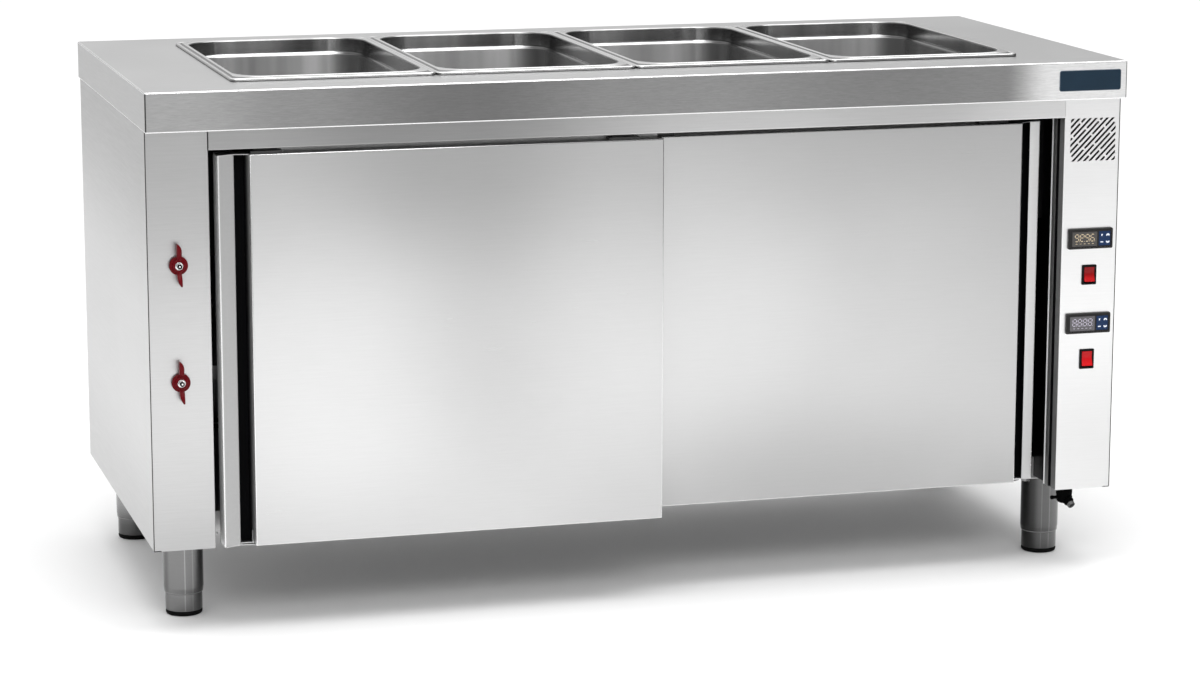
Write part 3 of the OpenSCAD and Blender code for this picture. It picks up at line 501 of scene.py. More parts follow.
def plate_mesh(loops, t, bevel=0.25, res=2):
    """Flat plate in X and Y from an outline and its holes, thickness t along Z about 0, with rounded edges, in millimetres."""
    cu = bpy.data.curves.new("tmp", "CURVE")
    cu.dimensions = "2D"
    cu.fill_mode = "BOTH"
    cu.extrude = t / 2 - bevel
    cu.bevel_depth = bevel
    cu.bevel_resolution = res
    cu.offset = -bevel
    for lp in loops:
        sp = cu.splines.new("POLY")
        sp.points.add(len(lp) - 1)
        for p, (x, y) in zip(sp.points, lp):
            p.co = (x, y, 0, 1)
        sp.use_cyclic_u = True
    ob = bpy.data.objects.new("tmp", cu)
    scene.collection.objects.link(ob)
    dg = bpy.context.evaluated_depsgraph_get()
    me = bpy.data.meshes.new_from_object(ob.evaluated_get(dg))
    verts = [tuple(v.co) for v in me.vertices]
    faces = [list(p.vertices) for p in me.polygons]
    bpy.data.objects.remove(ob)
    bpy.data.curves.remove(cu)
    bpy.data.meshes.remove(me)
    return verts, faces


def lathe(b, centre, profile, seg=72, mat=0, closed=True, axis="Z", cap0=False, cap1=False):
    """profile of (radius, height) about an axis through centre"""
    rows = []
    for r, h in profile:
        row = []
        for i in range(seg):
            a = 2 * math.pi * i / seg
            u, v = r * math.cos(a), r * math.sin(a)
            if axis == "Z":
                row.append((centre[0] + u, centre[1] + v, centre[2] + h))
            elif axis == "Y":
                row.append((centre[0] + u, centre[1] + h, centre[2] + v))
            else:
                row.append((centre[0] + h, centre[1] + u, centre[2] + v))
        rows.append(row)
    b.loops(rows, mat, closed=closed, cap0=cap0, cap1=cap1)


def arc(cx, cy, r, a0, a1, n):
    return [(cx + r * math.cos(math.radians(a0 + (a1 - a0) * i / n)), cy + r * math.sin(math.radians(a0 + (a1 - a0) * i / n))) for i in range(n + 1)]


# ------------------------------------------------------------------- worktop
def make_worktop():
    b = Build()
    t, R = 1.5, 2.2
    cut = (156.5, 1443.5, 108, 622)
    rows, mats = [], []

    def row(x0, x1, y0, y1, z, r):
        rows.append(rloop(x0, x1, y0, y1, z, r, 6))

    def ins(d, z, r):
        row(d, TOP_W - d, d, TOP_D - d, z, r)

    row(cut[0] - 0.4, cut[1] + 0.4, cut[2] - 0.4, cut[3] + 0.4, 850, 12.4)
    n = 6
    for i in range(n + 1):
        a = math.radians(90 * i / n)
        ins(R * (1 - math.sin(a)), 850 - R * (1 - math.cos(a)), 0.35 + R * math.sin(a) * 0.75)
    for i in range(n + 1):
        a = math.radians(90 * i / n)
        ins(R * (1 - math.cos(a)), 788 + R * (1 - math.sin(a)), 0.35 + R * math.cos(a) * 0.75)
    row(14, 1586, 26, 708, 788, 0.3)
    row(14, 1586, 26, 708, 789.5, 0.3)
    ins(t, 789.5, 0.3)
    ins(t, 848.5, 0.3)
    row(cut[0], cut[1], cut[2], cut[3], 848.5, 12)
    row(cut[0], cut[1], cut[2], cut[3], 849.6, 12)
    k = len(rows)
    mats = [0] + [1] * n + [2] + [1] * n + [3] * (k - 2 * n - 2)
    b.loops(rows, mats, closed=True)
    # the long faces look to the front and back, the short ones sideways; the rounded corner faces get a dark line of
    # painted shade
    for i, f in enumerate(b.f):
        if b.m[i] == 2:
            xs = [b.v[j].x for j in f]
            ys = [b.v[j].y for j in f]
            if max(xs) - min(xs) < 0.004:
                b.m[i] = 5 if max(ys) - min(ys) < 0.004 else 4
    piece("worktop_skin", b, "cabinet", [M["top"], M["fold"], M["skirt"], M["inner"], M["skirt_side"], M["seam"]],
          ["worktop"], sharp=50)


def make_badge():
    b = Build()
    rows = []
    x0, x1, z0, z1 = 1481.5, 1588.8, 803.0, 836.7
    for d, y, r in ((0.0, 0.05, 3.6), (0.0, -0.55, 3.6), (0.12, -0.8, 3.5), (0.45, -0.95, 3.2), (0.9, -0.95, 2.8), (1.1, -0.88, 2.6)):
        rows.append([(x, y, z) for x, z in rrect(x0 + d, x1 - d, z0 + d, z1 - d, r, 8)])
    b.loops(rows, [1, 1, 1, 1, 0], cap0=True, cap1=True, capmat=0)
    piece("blank_plate", b, "cabinet", [M["navy"], M["plate_edge"]], ["badge_plate"], sharp=50)


# ---------------------------------------------------------------------- pans
def make_pan(i):
    b = Build()
    x0, y0 = 149.25 + 325.5 * i, 100.0
    z = 857.0
    prof = []      # inset from the rim's edge, height, corner radius, material of the step that follows

    def add(d, h, r, m=1):
        prof.append((d, h, r, m))

    # turned-down edge with a dark line of painted shade where it meets the top, the bead, the valley behind it, the
    # crest; bead and crest carry a painted highlight, the valley painted shade
    add(1.6, z - 6.95, 8.2, 2)
    add(0.55, z - 6.95, 9.2, 2)
    add(0.40, z - 6.2, 9.4, 6)
    add(0.25, z - 4.0, 9.6, 6)
    for k in range(9):
        a = math.radians(190 - 160 * k / 8)
        add(2.6 + 2.4 * math.cos(a), z - 3.9 + 1.95 * math.sin(a), 9.5 - 0.8 * math.cos(a), 6 if k == 0 else 1)
    add(5.4, z - 2.95, 9.9, 3)
    add(6.2, z - 2.9, 10.6, 3)
    add(7.0, z - 2.3, 14.0, 3)
    add(7.9, z - 1.0, 24.0)
    add(9.2, z - 0.25, 44.0)
    for k in range(6):
        a = math.radians(90 - 84 * k / 5)
        add(10.7 + 3.0 * math.cos(a), z - 3.0 * (1 - math.sin(a)), 55.0 + 0.4 * k, 1 if k < 2 else 0)
    # upper band, stacking shoulder with a painted highlight, lower wall
    add(14.1, z - 22.0, 57.3, 0)
    add(14.3, z - 24.2, 57.2, 5)
    add(15.0, z - 25.7, 57.0, 5)
    add(16.4, z - 26.6, 56.4, 5)
    add(17.2, z - 27.6, 56.0, 4)
    add(17.5, z - 29.5, 55.8, 4)
    add(20.5, z - 134.5, 53.0, 4)
    for k in range(1, 7):
        a = math.radians(90 * k / 6)
        add(20.5 + 12.5 * (1 - math.cos(a)), z - 134.8 - 14.0 * math.sin(a), 53.0 - 1.8 * k, 4)
    add(70.0, z - 148.9, 24.0, 4)
    # underside, from the middle back to the rim
    add(70.0, z - 150.0, 24.0, 0)
    for k in range(6, -1, -1):
        a = math.radians(90 * k / 6)
        add(19.3 + 12.5 * (1 - math.cos(a)), z - 136.0 - 14.0 * math.sin(a), 54.0 - 1.8 * k, 0)
    add(16.3, z - 29.8, 57.0, 0)
    add(15.4, z - 27.8, 57.4, 0)
    add(13.2, z - 26.6, 58.4, 0)
    add(13.0, z - 22.0, 58.6, 0)
    add(12.5, z - 3.0, 57.0, 0)
    add(9.4, z - 1.5, 46.0)
    add(8.4, z - 3.4, 24.0)
    add(6.6, z - 4.2, 12.0)
    add(2.6, z - 4.0, 7.8)
    add(1.7, z - 4.4, 8.0)
    add(1.6, z - 6.0, 8.1)
    rows = [rloop(x0 + d, x0 + 325 - d, y0 + d, y0 + 530 - d, h, r, 9) for d, h, r, _ in prof]
    mats = [m for *_, m in prof]
    # the floor: two caps close the ring of rows in the middle
    k = next(j for j, p in enumerate(prof) if p[0] == 70.0)
    b.loops(rows[:k + 1], mats[:k], cap1=True, capmat=4)
    b.loops(rows[k + 1:], mats[k + 1:-1], cap0=True, capmat=0)
    b.loops([rows[-1], rows[0]], [1])
    piece("food_pan_%d" % (i + 1), b, "pan_%d" % (i + 1), [M["pan"], M["pan_rim"], M["pan_gap"], M["pan_valley"], M["pan_low"], M["pan_shoulder"], M["pan_edge"]], ["pan_%d" % (i + 1)], sharp=48)


# ------------------------------------------------------- cabinet outer sheets
def make_side(name, x_out, s, mat):
    """side panel with folded lower edge; s is +1 where the inside lies towards +X"""
    b = Build()
    t, R = 1.5, 2.2
    pts = [(x_out + s * 12, 136.0), (x_out, 136.0), (x_out, 788.0)]
    if s < 0:
        out = sheet_outline([(2 * x_out - x, z) for x, z in pts], t, R)
        out = [(2 * x_out - x, z) for x, z in out]
    else:
        out = sheet_outline(pts, t, R)
    bm = prism_bm(out, 20.0, 716.0, "Y", 0.45, 2, pick=lambda p, q: abs(p.y - q.y) < 1e-6 and abs(p.x - x_out) < 1e-4 and abs(q.x - x_out) < 1e-4)
    # the sheet's front edge gets a dark line of painted shade
    for f in bm.faces:
        if f.normal.y < -0.95:
            f.material_index = 1
    b.bm(bm)
    piece(name + "_skin", b, "cabinet", [mat, M["seam"]], [name], sharp=50)


def fold_strip(b, pts, z0, z1, mat=0, t=1.5, R=2.0, bevel=0.0, fold_mat=None):
    """upright folded sheet with its outline in X and Y"""
    out = sheet_outline(pts, t, R)
    bm = prism_bm(out, z0, z1, "Z")
    b.bm(bm, mat)


def front_plate(b, loops, y_front, t=1.5, mat=0, bevel=0.3):
    """flat plate that looks to the front; loops in X and Z"""
    v, f = plate_mesh(loops, t, bevel)
    b.add([(x, y_front + t / 2 - w, z) for x, z, w in v], f, mat)


def circle(cx, cz, r, n=40):
    return [(cx + r * math.cos(2 * math.pi * i / n), cz + r * math.sin(2 * math.pi * i / n)) for i in range(n)]


def make_column_left():
    b = Build()
    front_plate(b, [[(2.6, 136), (93.0, 136), (93.0, 788), (2.6, 788)], circle(48.5, 583, 8), circle(48.5, 401, 8)], 20.0)
    # fold into the cupboard's opening; the outline runs along the outer face
    fold_strip(b, [(98.0, 44.0), (98.0, 20.0), (92.9, 20.0)], 136, 788)
    piece("column_panel_left_skin", b, "cabinet", [M["column_l"]], ["column_panel_left"], sharp=50)


def clip_poly(poly, x0, x1, z0, z1):
    def cut(pts, inside, meet):
        out = []
        for i, p in enumerate(pts):
            q = pts[(i + 1) % len(pts)]
            if inside(p):
                out.append(p)
                if not inside(q):
                    out.append(meet(p, q))
            elif inside(q):
                out.append(meet(p, q))
        return out

    def mx(c):
        return lambda p, q: (c, p[1] + (q[1] - p[1]) * (c - p[0]) / (q[0] - p[0]))

    def mz(c):
        return lambda p, q: (p[0] + (q[0] - p[0]) * (c - p[1]) / (q[1] - p[1]), c)

    for inside, meet in ((lambda p: p[0] >= x0, mx(x0)), (lambda p: p[0] <= x1, mx(x1)), (lambda p: p[1] >= z0, mz(z0)), (lambda p: p[1] <= z1, mz(z1))):
        if poly:
            poly = cut(poly, inside, meet)
    return poly


CTL_X = 1551.25


def grille_loops():
    out = []
    c, s = math.cos(math.radians(45)), math.sin(math.radians(45))
    ox, oz = CTL_X + 0.6, 720.0
    for n in range(-7, 8):
        for m in range(-2, 2):
            u0 = m * 51 + (-20 if n % 2 == 0 else -1.5 if n < 0 else 5.8)
            w0 = n * 7.07 - 1.75
            poly = [(u0, w0), (u0 + 47.5, w0), (u0 + 47.5, w0 + 3.5), (u0, w0 + 3.5)]
            poly = [(ox + u * c - w * s, oz + u * s + w * c) for u, w in poly]
            poly = clip_poly(poly, CTL_X - 38.9, CTL_X + 40.2, 685.0, 755.2)
            if len(poly) >= 3:
                area = 0.5 * abs(sum(poly[i][0] * poly[(i + 1) % len(poly)][1] - poly[(i + 1) % len(poly)][0] * poly[i][1] for i in range(len(poly))))
                if area > 8:
                    clean = [p for i, p in enumerate(poly) if (Vector(p) - Vector(poly[i - 1])).length > 0.05]
                    out.append(clean)
    return out


def make_control_panel():
    b = Build()
    loops = [[(1507.0, 136), (1597.4, 136), (1597.4, 788), (1507.0, 788)]]
    for z in (557, 416):
        loops.append(rrect(CTL_X - 35.7, CTL_X + 35.7, z - 14.7, z + 14.7, 0.5, 2))
    for z in (496.6, 355.7):
        loops.append(rrect(CTL_X - 10.7, CTL_X + 10.7, z - 14.7, z + 14.7, 0.5, 2))
    loops += grille_loops()
    front_plate(b, loops, 20.0, bevel=0.25)
    # folded edge with the groove for the door's seal
    out = sheet_outline([(1507.1, 20.0), (1502.0, 20.0), (1502.0, 41.0), (1505.5, 41.0), (1505.5, 51.0), (1502.0, 51.0), (1502.0, 65.0), (1502.0, 72.0), (1511.0, 72.0)], 1.5, 2.0)
    bm = prism_bm(out, 136, 788, "Z")
    # the fold's sides get a darker copy of the steel as painted shade, the groove near-black painted shade, the last
    # bend a painted highlight
    for f in bm.faces:
        c = f.calc_center_median()
        if abs(f.normal.z) > 0.5:
            continue
        if 40.0 < c.y < 52.0:
            f.material_index = 2
        elif c.y > 65.5:
            f.material_index = 3
        elif c.y > 22.1:
            f.material_index = 1
    b.bm(bm)
    piece("control_panel_skin", b, "cabinet", [M["column_r"], M["column_r_fold"], M["recess"], M["fold_edge"]], ["control_panel"], sharp=50)


def make_fascia():
    b = Build()
    pts = [(104.0, 788.0), (20.0, 788.0), (20.0, 758.4), (33.0, 758.4)]
    out = sheet_outline(pts, 1.5, 2.0)
    b.bm(prism_bm(out, 98.5, 1501.5, "X"))
    piece("front_fascia_skin", b, "cabinet", [M["fascia"]], ["front_fascia"], sharp=50)


def make_back():
    b = Build()
    v, f = plate_mesh([[(2.6, 136), (1597.4, 136), (1597.4, 788), (2.6, 788)], circle(48.5, 530, 11.5), circle(48.5, 350, 11.5)], 1.5, 0.3)
    b.add([(x, 716.0 - 0.75 + w, z) for x, z, w in v], f)
    piece("back_panel_skin", b, "cabinet", [M["front"]], ["back_panel"], sharp=50)


# --------------------------------------------------------------------- doors
def make_door(name, body, to, L, z0, z1, lw, d_out, d_in, f0, mat, lip):
    """to(s, d, z) places the door's own measure: along from the handle edge, depth behind the face, height"""
    b = Build(to)
    # face box: rounded at the front edges, slanted towards the hand channel, grooved below for the guide
    out = [(0, z0), (0, z1), (38.3, z1), (38.3, z0), (24, z0), (24, z0 + 21), (16, z0 + 21), (16, z0)]   # d, z
    bm = prism_bm(out, f0, L, "X")     # X is s, Y is d
    for v in bm.verts:
        if v.co.x < f0 + 1:
            v.co.x = f0 - 3.5 * v.co.y / 37.5
    R = 2.2
    es = [e for e in bm.edges if all(abs(v.co.y) < 1e-5 for v in e.verts)]
    bmesh.ops.bevel(bm, geom=es, offset=R, segments=5, profile=0.5, affect="EDGES", clamp_overlap=False)
    # the rounded front edges get the lighter fold steel as painted highlight; the slanted end gets its own steel, which
    # darkens into painted shade
    for f in bm.faces:
        c = f.calc_center_median()
        if f.normal.y < -0.1 and f.normal.y > -0.98:
            f.material_index = 1
        elif c.x < f0 + 2 and abs(f.normal.x) > 0.9:
            f.material_index = 5
    b.bm(bm)
    # hand channel: lip, outer wall and floor, one folded sheet
    pts = [(lw, d_in + 5), (lw, d_in), (0, d_out), (0, 37.5), (f0 - 3.6, 37.5)]
    outl = sheet_outline(pts, 1.5, 2.2)
    ch = prism_bm(outl, z0 + 1.5, z1 - 1.5, "Z")
    for f in ch.faces:
        # the channel's floor and inner walls get near-black painted shade, the outer wall a light copy of the steel as
        # painted light, the bend a painted highlight
        c = f.calc_center_median()
        n = f.normal
        if abs(n.z) > 0.9:
            continue
        if c.y > 20 and 1.4 < c.x < f0 and abs(n.y) > 0.5:
            f.material_index = 4
        elif c.x < 0.3 and abs(n.x) > 0.9:
            f.material_index = 3
        elif c.x < 2.4 and c.y < d_out + 2.4:
            f.material_index = 1
        elif c.y < d_in + 2 and abs(n.y) > 0.5 and c.x > 3:
            f.material_index = 2
        elif 1.2 < c.x < 1.8 or c.x > lw - 2:
            f.material_index = 4
    b.bm(ch)
    # end caps; the lower one leaves the guide's groove open
    cap = [(0.0, d_out + 2.2), (0.65, d_out + 0.7), (2.2, d_out + 0.1), (lw, d_in + 0.1), (f0 - 0.9, 8.0), (f0 - 3.6, 37.5), (0.0, 37.5)]
    flat = lambda p, q: abs(p.z - q.z) < 1e-6
    b.bm(prism_bm(cap, z1 - 1.5, z1, "Z", 0.35, 2, pick=flat))
    for part in (clip_poly(cap, -1, f0, -1, 15.6), clip_poly(cap, -1, f0, 24.4, 38)):
        b.bm(prism_bm(part, z0, z0 + 1.5, "Z", 0.3, 2, pick=flat))
    piece(name + "_skin", b, body, [mat, M["fold"], lip, M["door_side"], M["recess"], M["slant"]], [name], sharp=50)


def door1_to(s, d, z):
    return W(112 + s, 20 + d, z)


def door2_to(s, d, z):
    return W(1485.6 - s, 65 + d, z)


# ---------------------------------------------------------------------- legs
def make_legs():
    for xi, xn in ((67.7, "left"), (1532.3, "right")):
        for yi, yn in ((154.0, "front"), (660.0, "back")):
            tag = "%s_%s" % (yn, xn)
            skin = M["leg_r"] if xn == "right" else M["leg"] if yn == "front" else M["leg_bl"]
            b = Build()
            c = (xi, yi, 0)
            prof = [(29.5, 36.0), (29.9, 35.7), (30.3, 36.3), (30.55, 37.4), (31.15, 43.0), (31.4, 44.2), (31.5, 45.5), (31.5, 131.0), (32.2, 133.2), (34.0, 134.9), (34.0, 136.0), (29.5, 136.0)]
            # the tube's lower end: two rings in the steel set dark as shade and one lighter ring of painted highlight
            lathe(b, c, prof, 96, [2, 2, 3] + [0] * 9)
            lathe(b, c, [(6.05, 100), (29.9, 100), (29.9, 106), (6.05, 106)], 96, 0)
            loops = [rrect(xi - 50, xi + 50, yi - 45, yi + 45, 6, 5), circle(xi, yi, 29.5, 48)]
            loops += [circle(xi + i, yi + j, 4.3, 20) for i in (-40, 40) for j in (-34, 34)]
            v, f = plate_mesh(loops, 3.0, 0.4)
            b.add([(x, y, 136.45 + w) for x, y, w in v], f, 1)
            piece("leg_" + tag, b, "cabinet", [skin, M["inner"], M["shade"], M["leg_edge"]], ["leg_tubes"], sharp=45)
            b = Build()
            prof = [(27.7, 94.6), (28.7, 95.0), (29.2, 94.4), (29.2, 9.2), (29.0, 8.2), (28.4, 7.3), (27.5, 7.0), (6.0, 7.0), (6.0, 9.0), (27.7, 9.0)]
            lathe(b, c, prof, 96, 0)
            stud = [(0.02, 7.2), (5.9, 7.2)]
            z = 9.0
            while z < 131:
                stud += [(5.95, z), (5.45, z + 0.75)]
                z += 1.5
            stud += [(5.2, 132.4), (4.6, 133.0), (0.02, 133.0)]
            lathe(b, c, stud, 32, 1)
            piece("foot_sleeve_" + tag, b, "foot_" + tag, [skin, M["bright"]], ["foot_" + tag], sharp=45)
            b = Build()
            prof = [(0.02, 0.0), (25.5, 0.0), (26.8, 0.3), (28.2, 1.3), (28.9, 2.6), (29.15, 4.0), (29.15, 5.6), (28.8, 6.6), (28.2, 7.0), (0.02, 7.0)]
            lathe(b, c, prof, 96, 0)
            piece("foot_pad_" + tag, b, "foot_" + tag, [M["rubber"]], ["pad_" + tag], sharp=45)


# -------------------------------------------------------------------- valves
def make_valve(tag, z):
    """butterfly handle: dished disc, hub and two swept wings, on a round stem with a nut"""
    cx = 48.5
    b = Build()
    # disc with a rolled rim
    prof = [(5.1, 17.0), (12.6, 17.0), (13.9, 16.6), (14.5, 15.7), (14.5, 14.6), (14.0, 13.8), (13.0, 13.5), (11.6, 13.9), (10.4, 13.4), (9.9, 12.2), (9.6, 10.9), (8.9, 10.2), (7.8, 10.0), (5.1, 10.0)]
    lathe(b, (cx, 0, z), prof, 64, 0, axis="Y")
    # wings, as smooth swept blades
    def wing(pts, sign):
        # pts: centre x, half width, height above the hub, front y, back y
        rows = []
        for (px, hw, h, yf, yb) in pts:
            ring = []
            for k in range(16):
                a = 2 * math.pi * k / 16
                ca, sa = math.cos(a), math.sin(a)
                e = 0.55
                u = hw * (abs(ca) ** e) * (1 if ca >= 0 else -1)
                w = (yb - yf) / 2 * (abs(sa) ** e) * (1 if sa >= 0 else -1)
                ring.append((cx + px + u, (yf + yb) / 2 + w, z + sign * h))
            rows.append(ring)
        b.loops(rows, 0, cap0=True, cap1=True)
    wing([(0.2, 3.9, 8.0, 10.2, 16.6), (0.2, 3.9, 12.0, 8.0, 16.6), (0.1, 3.9, 15.0, 4.0, 16.2), (0.0, 3.95, 20.0, 2.2, 15.8), (-0.1, 3.9, 25.0, 1.7, 15.4), (-0.7, 3.3, 29.0, 1.6, 15.2), (-1.7, 2.2, 32.2, 1.8, 15.0), (-2.5, 1.0, 33.9, 2.6, 14.4), (-2.8, 0.35, 34.3, 3.6, 13.6)], 1)
    wing([(0.3, 3.9, 8.0, 10.2, 16.6), (0.3, 3.9, 12.0, 8.0, 16.6), (0.3, 3.9, 15.0, 4.0, 16.2), (0.4, 3.8, 19.0, 2.2, 15.8), (0.9, 3.5, 23.5, 1.7, 15.4), (1.7, 2.7, 27.0, 1.6, 15.2), (2.4, 2.0, 29.6, 1.8, 15.0), (2.7, 1.4, 31.0, 2.6, 14.4), (2.8, 0.6, 31.5, 3.6, 13.6)], -1)
    piece(tag + "_butterfly", b, tag + "_valve_handle", [M["red_paint"]], [tag + "_handle"], sharp=42)
    b = Build()
    # washer, nut with chamfered crown, threaded end
    lathe(b, (cx, 0, z), [(4.6, 9.95), (5.9, 9.95), (6.1, 9.7), (6.1, 9.3), (5.9, 9.05), (4.6, 9.05)], 48, 0, axis="Y")
    hexr = lambda r, y, k=0: [(cx + r * math.cos(math.radians(60 * i + 30 * k)), y, z + r * math.sin(math.radians(60 * i + 30 * k))) for i in range(6)]
    b.loops([hexr(5.4, 9.0), hexr(5.5, 8.7), hexr(5.5, 5.6), hexr(4.9, 5.0)], 0, cap0=True, cap1=True)
    # threaded end: flanks of the thread in near-black painted shade round a bright turned point
    prof = [(1.6, 2.35), (2.4, 2.2), (3.1, 2.5)]
    y = 2.9
    while y < 5.0:
        prof += [(3.7, y), (3.1, y + 0.45)]
        y += 0.9
    prof += [(3.8, 5.1), (3.8, 5.3), (1.6, 5.3)]
    lathe(b, (cx, 0, z), prof, 40, 1, axis="Y")
    lathe(b, (cx, 0, z), [(0.02, 1.95), (1.2, 1.95), (1.5, 2.25), (1.5, 5.25), (0.02, 5.25)], 40, 0, axis="Y")
    lathe(b, (cx, 0, z), [(0.02, 9.0), (5.0, 9.0), (5.0, 50.0), (0.02, 50.0)], 40, 0, axis="Y")
    piece(tag + "_stem_nut", b, tag + "_valve_handle", [M["bright"], M["thread"]], [tag + "_stem"], sharp=35)


# ------------------------------------------------------------------ controls
SEGS = {"a": ((0.14, 1.0), (0.86, 1.0)), "d": ((0.14, 0.0), (0.86, 0.0)), "g": ((0.14, 0.5), (0.86, 0.5)),
        "b": ((1.0, 0.56), (1.0, 0.94)), "c": ((1.0, 0.06), (1.0, 0.44)), "e": ((0.0, 0.06), (0.0, 0.44)), "f": ((0.0, 0.56), (0.0, 0.94))}


def bar(b, p, q, w, y0, y1, mat):
    """hexagonal display segment from p to q in X and Z"""
    p, q = Vector(p), Vector(q)
    d = (q - p).normalized()
    n = Vector((-d.y, d.x))
    h = w / 2
    pts = [p, p + d * h + n * h, q - d * h + n * h, q, q - d * h - n * h, p + d * h - n * h]
    b.bm(prism_bm([tuple(x) for x in pts], y0, y1, "Y"), mat)


def controller_shell(z):
    b = Build()
    # bezel: rounded frame with a deep soft edge, window and keypad openings stepped in
    rows = []
    for d, y, r in ((0.0, 20.0, 2.4), (0.0, 16.6, 2.4), (0.25, 15.4, 2.5), (0.9, 14.5, 2.6), (1.8, 14.05, 2.2), (2.6, 14.0, 1.8)):
        rows.append([(x, y, zz) for x, zz in rrect(CTL_X - 39 + d, CTL_X + 39 - d, z - 17 + d, z + 17 - d, r, 6)])
    b.loops(rows, 0, cap0=True)
    # front field between the rounded edge and the two openings
    v, f = plate_mesh([rrect(CTL_X - 36.3, CTL_X + 36.3, z - 14.3, z + 14.3, 1.7, 6),
                       rrect(CTL_X - 33.5, CTL_X + 11.0, z - 12.3, z + 12.3, 0.8, 3),
                       rrect(CTL_X + 13.3, CTL_X + 34.4, z - 12.3, z + 12.3, 0.8, 3)], 1.5, 0.2)
    b.add([(x, 14.85 - w, zz) for x, zz, w in v], f, 0)
    b.bm(box_bm(CTL_X - 35.0, CTL_X + 35.0, 15.8, 19.5, z - 14.0, z + 14.0), 0)
    b.bm(box_bm(CTL_X - 35.5, CTL_X + 35.5, 20.0, 80.0, z - 14.5, z + 14.5, 0.6, 2), 0)
    return b


def make_controls():
    both = Build()
    for tag, z in (("upper", 557.0), ("lower", 416.0)):
        b = controller_shell(z)
        k = len(both.v)
        both.v += b.v
        both.f += [[i + k for i in f] for f in b.f]
        both.m += b.m
    piece("controller_fronts", both, "cabinet", [M["case"]], ["controller_cases"], sharp=40)
    wins = Build()
    for tag, z, wm, sm in (("upper", 557.0, 0, 2), ("lower", 416.0, 1, 3)):
        wx0, wx1, wz0, wz1 = CTL_X - 33.3, CTL_X + 10.8, z - 12.1, z + 12.1
        rows = [[(x, y, zz) for x, zz in rrect(wx0 + d, wx1 - d, wz0 + d, wz1 - d, 0.8, 3)] for d, y in ((0, 15.7), (0, 14.35), (0.3, 14.1), (0.7, 14.05))]
        wins.loops(rows, wm, cap0=True, cap1=True)
        # four seven-segment digits and the small scale marks under them
        w, h, pitch = 6.3, 11.2, 9.2
        for n in range(4):
            ox, oz = CTL_X - 29.0 + n * pitch, z - 3.6
            for s, (p, q) in SEGS.items():
                if tag == "upper" and (n, s) in ((0, "e"), (1, "c"), (2, "e"), (3, "b")):
                    continue
                sh = 0.9
                P = (ox + p[0] * w + p[1] * sh, oz + p[1] * h)
                Q = (ox + q[0] * w + q[1] * sh, oz + q[1] * h)
                bar(wins, P, Q, 1.5, 13.97, 14.3, sm)
            wins.bm(prism_bm(circle(ox + w + 1.3, oz - 0.2, 0.55, 12), 13.97, 14.3, "Y"), sm)
        for n in range(5):
            wins.bm(box_bm(CTL_X - 27.5 + n * 7.2, CTL_X - 24.3 + n * 7.2, 13.97, 14.3, z - 8.3, z - 7.4), sm)
    piece("display_panels", wins, "cabinet", [M["window"], M["window_low"], M["seg"], M["seg_low"]], ["display_windows"], sharp=40)
    for tag, z in (("upper", 557.0), ("lower", 416.0)):
        b = Build()
        rows = [[(x, y, zz) for x, zz in rrect(CTL_X + 13.6 + d, CTL_X + 34.1 - d, z - 12 + d, z + 12 - d, 0.8, 3)] for d, y in ((0, 16.5), (0, 14.8), (0.25, 14.5), (0.6, 14.4))]
        b.loops(rows, 0, cap0=True, cap1=True)
        for kx in (18.6, 29.1):
            for kz in (-5.8, 5.8):
                x, zz = CTL_X + kx, z + kz
                rows = [[(a, y, c) for a, c in rrect(x - 3.9 + d, x + 3.9 - d, zz - 4.3 + d, zz + 4.3 - d, 1.6, 5)] for d, y in ((0, 14.4), (0.1, 13.95), (0.5, 13.7), (1.1, 13.6))]
                b.loops(rows, 0, cap0=True, cap1=True)
        y0, y1 = 13.5, 13.75
        # raised marks: arrow up, arrow down, bar and dot
        def chevron(x, zz, s):
            pts = [(-3.0, -1.6 * s), (-3.0, 0.2 * s), (-1.6, 1.9 * s), (1.6, 1.9 * s), (3.0, 0.2 * s), (3.0, -1.6 * s), (1.5, -1.6 * s), (0.0, 0.0), (-1.5, -1.6 * s)]
            if s < 0:
                pts = pts[::-1]
            b.bm(prism_bm([(x + px, zz + pz) for px, pz in pts], y0, y1, "Y"), 1)
        chevron(CTL_X + 29.1, z + 5.8, 1)
        chevron(CTL_X + 29.1, z - 5.8, -1)
        b.bm(prism_bm(rrect(CTL_X + 16.0, CTL_X + 21.2, z - 6.7, z - 4.9, 0.7, 3), y0, y1, "Y"), 1)
        b.bm(prism_bm([(CTL_X + 17.6, z + 4.1), (CTL_X + 18.9, z + 4.1), (CTL_X + 20.2, z + 7.4), (CTL_X + 17.6, z + 7.4)], y0, y1, "Y"), 1)
        piece("keypad_%s_face" % tag, b, "keypad_" + tag, [M["keys"], M["icon"]], ["keypad_" + tag], sharp=40)


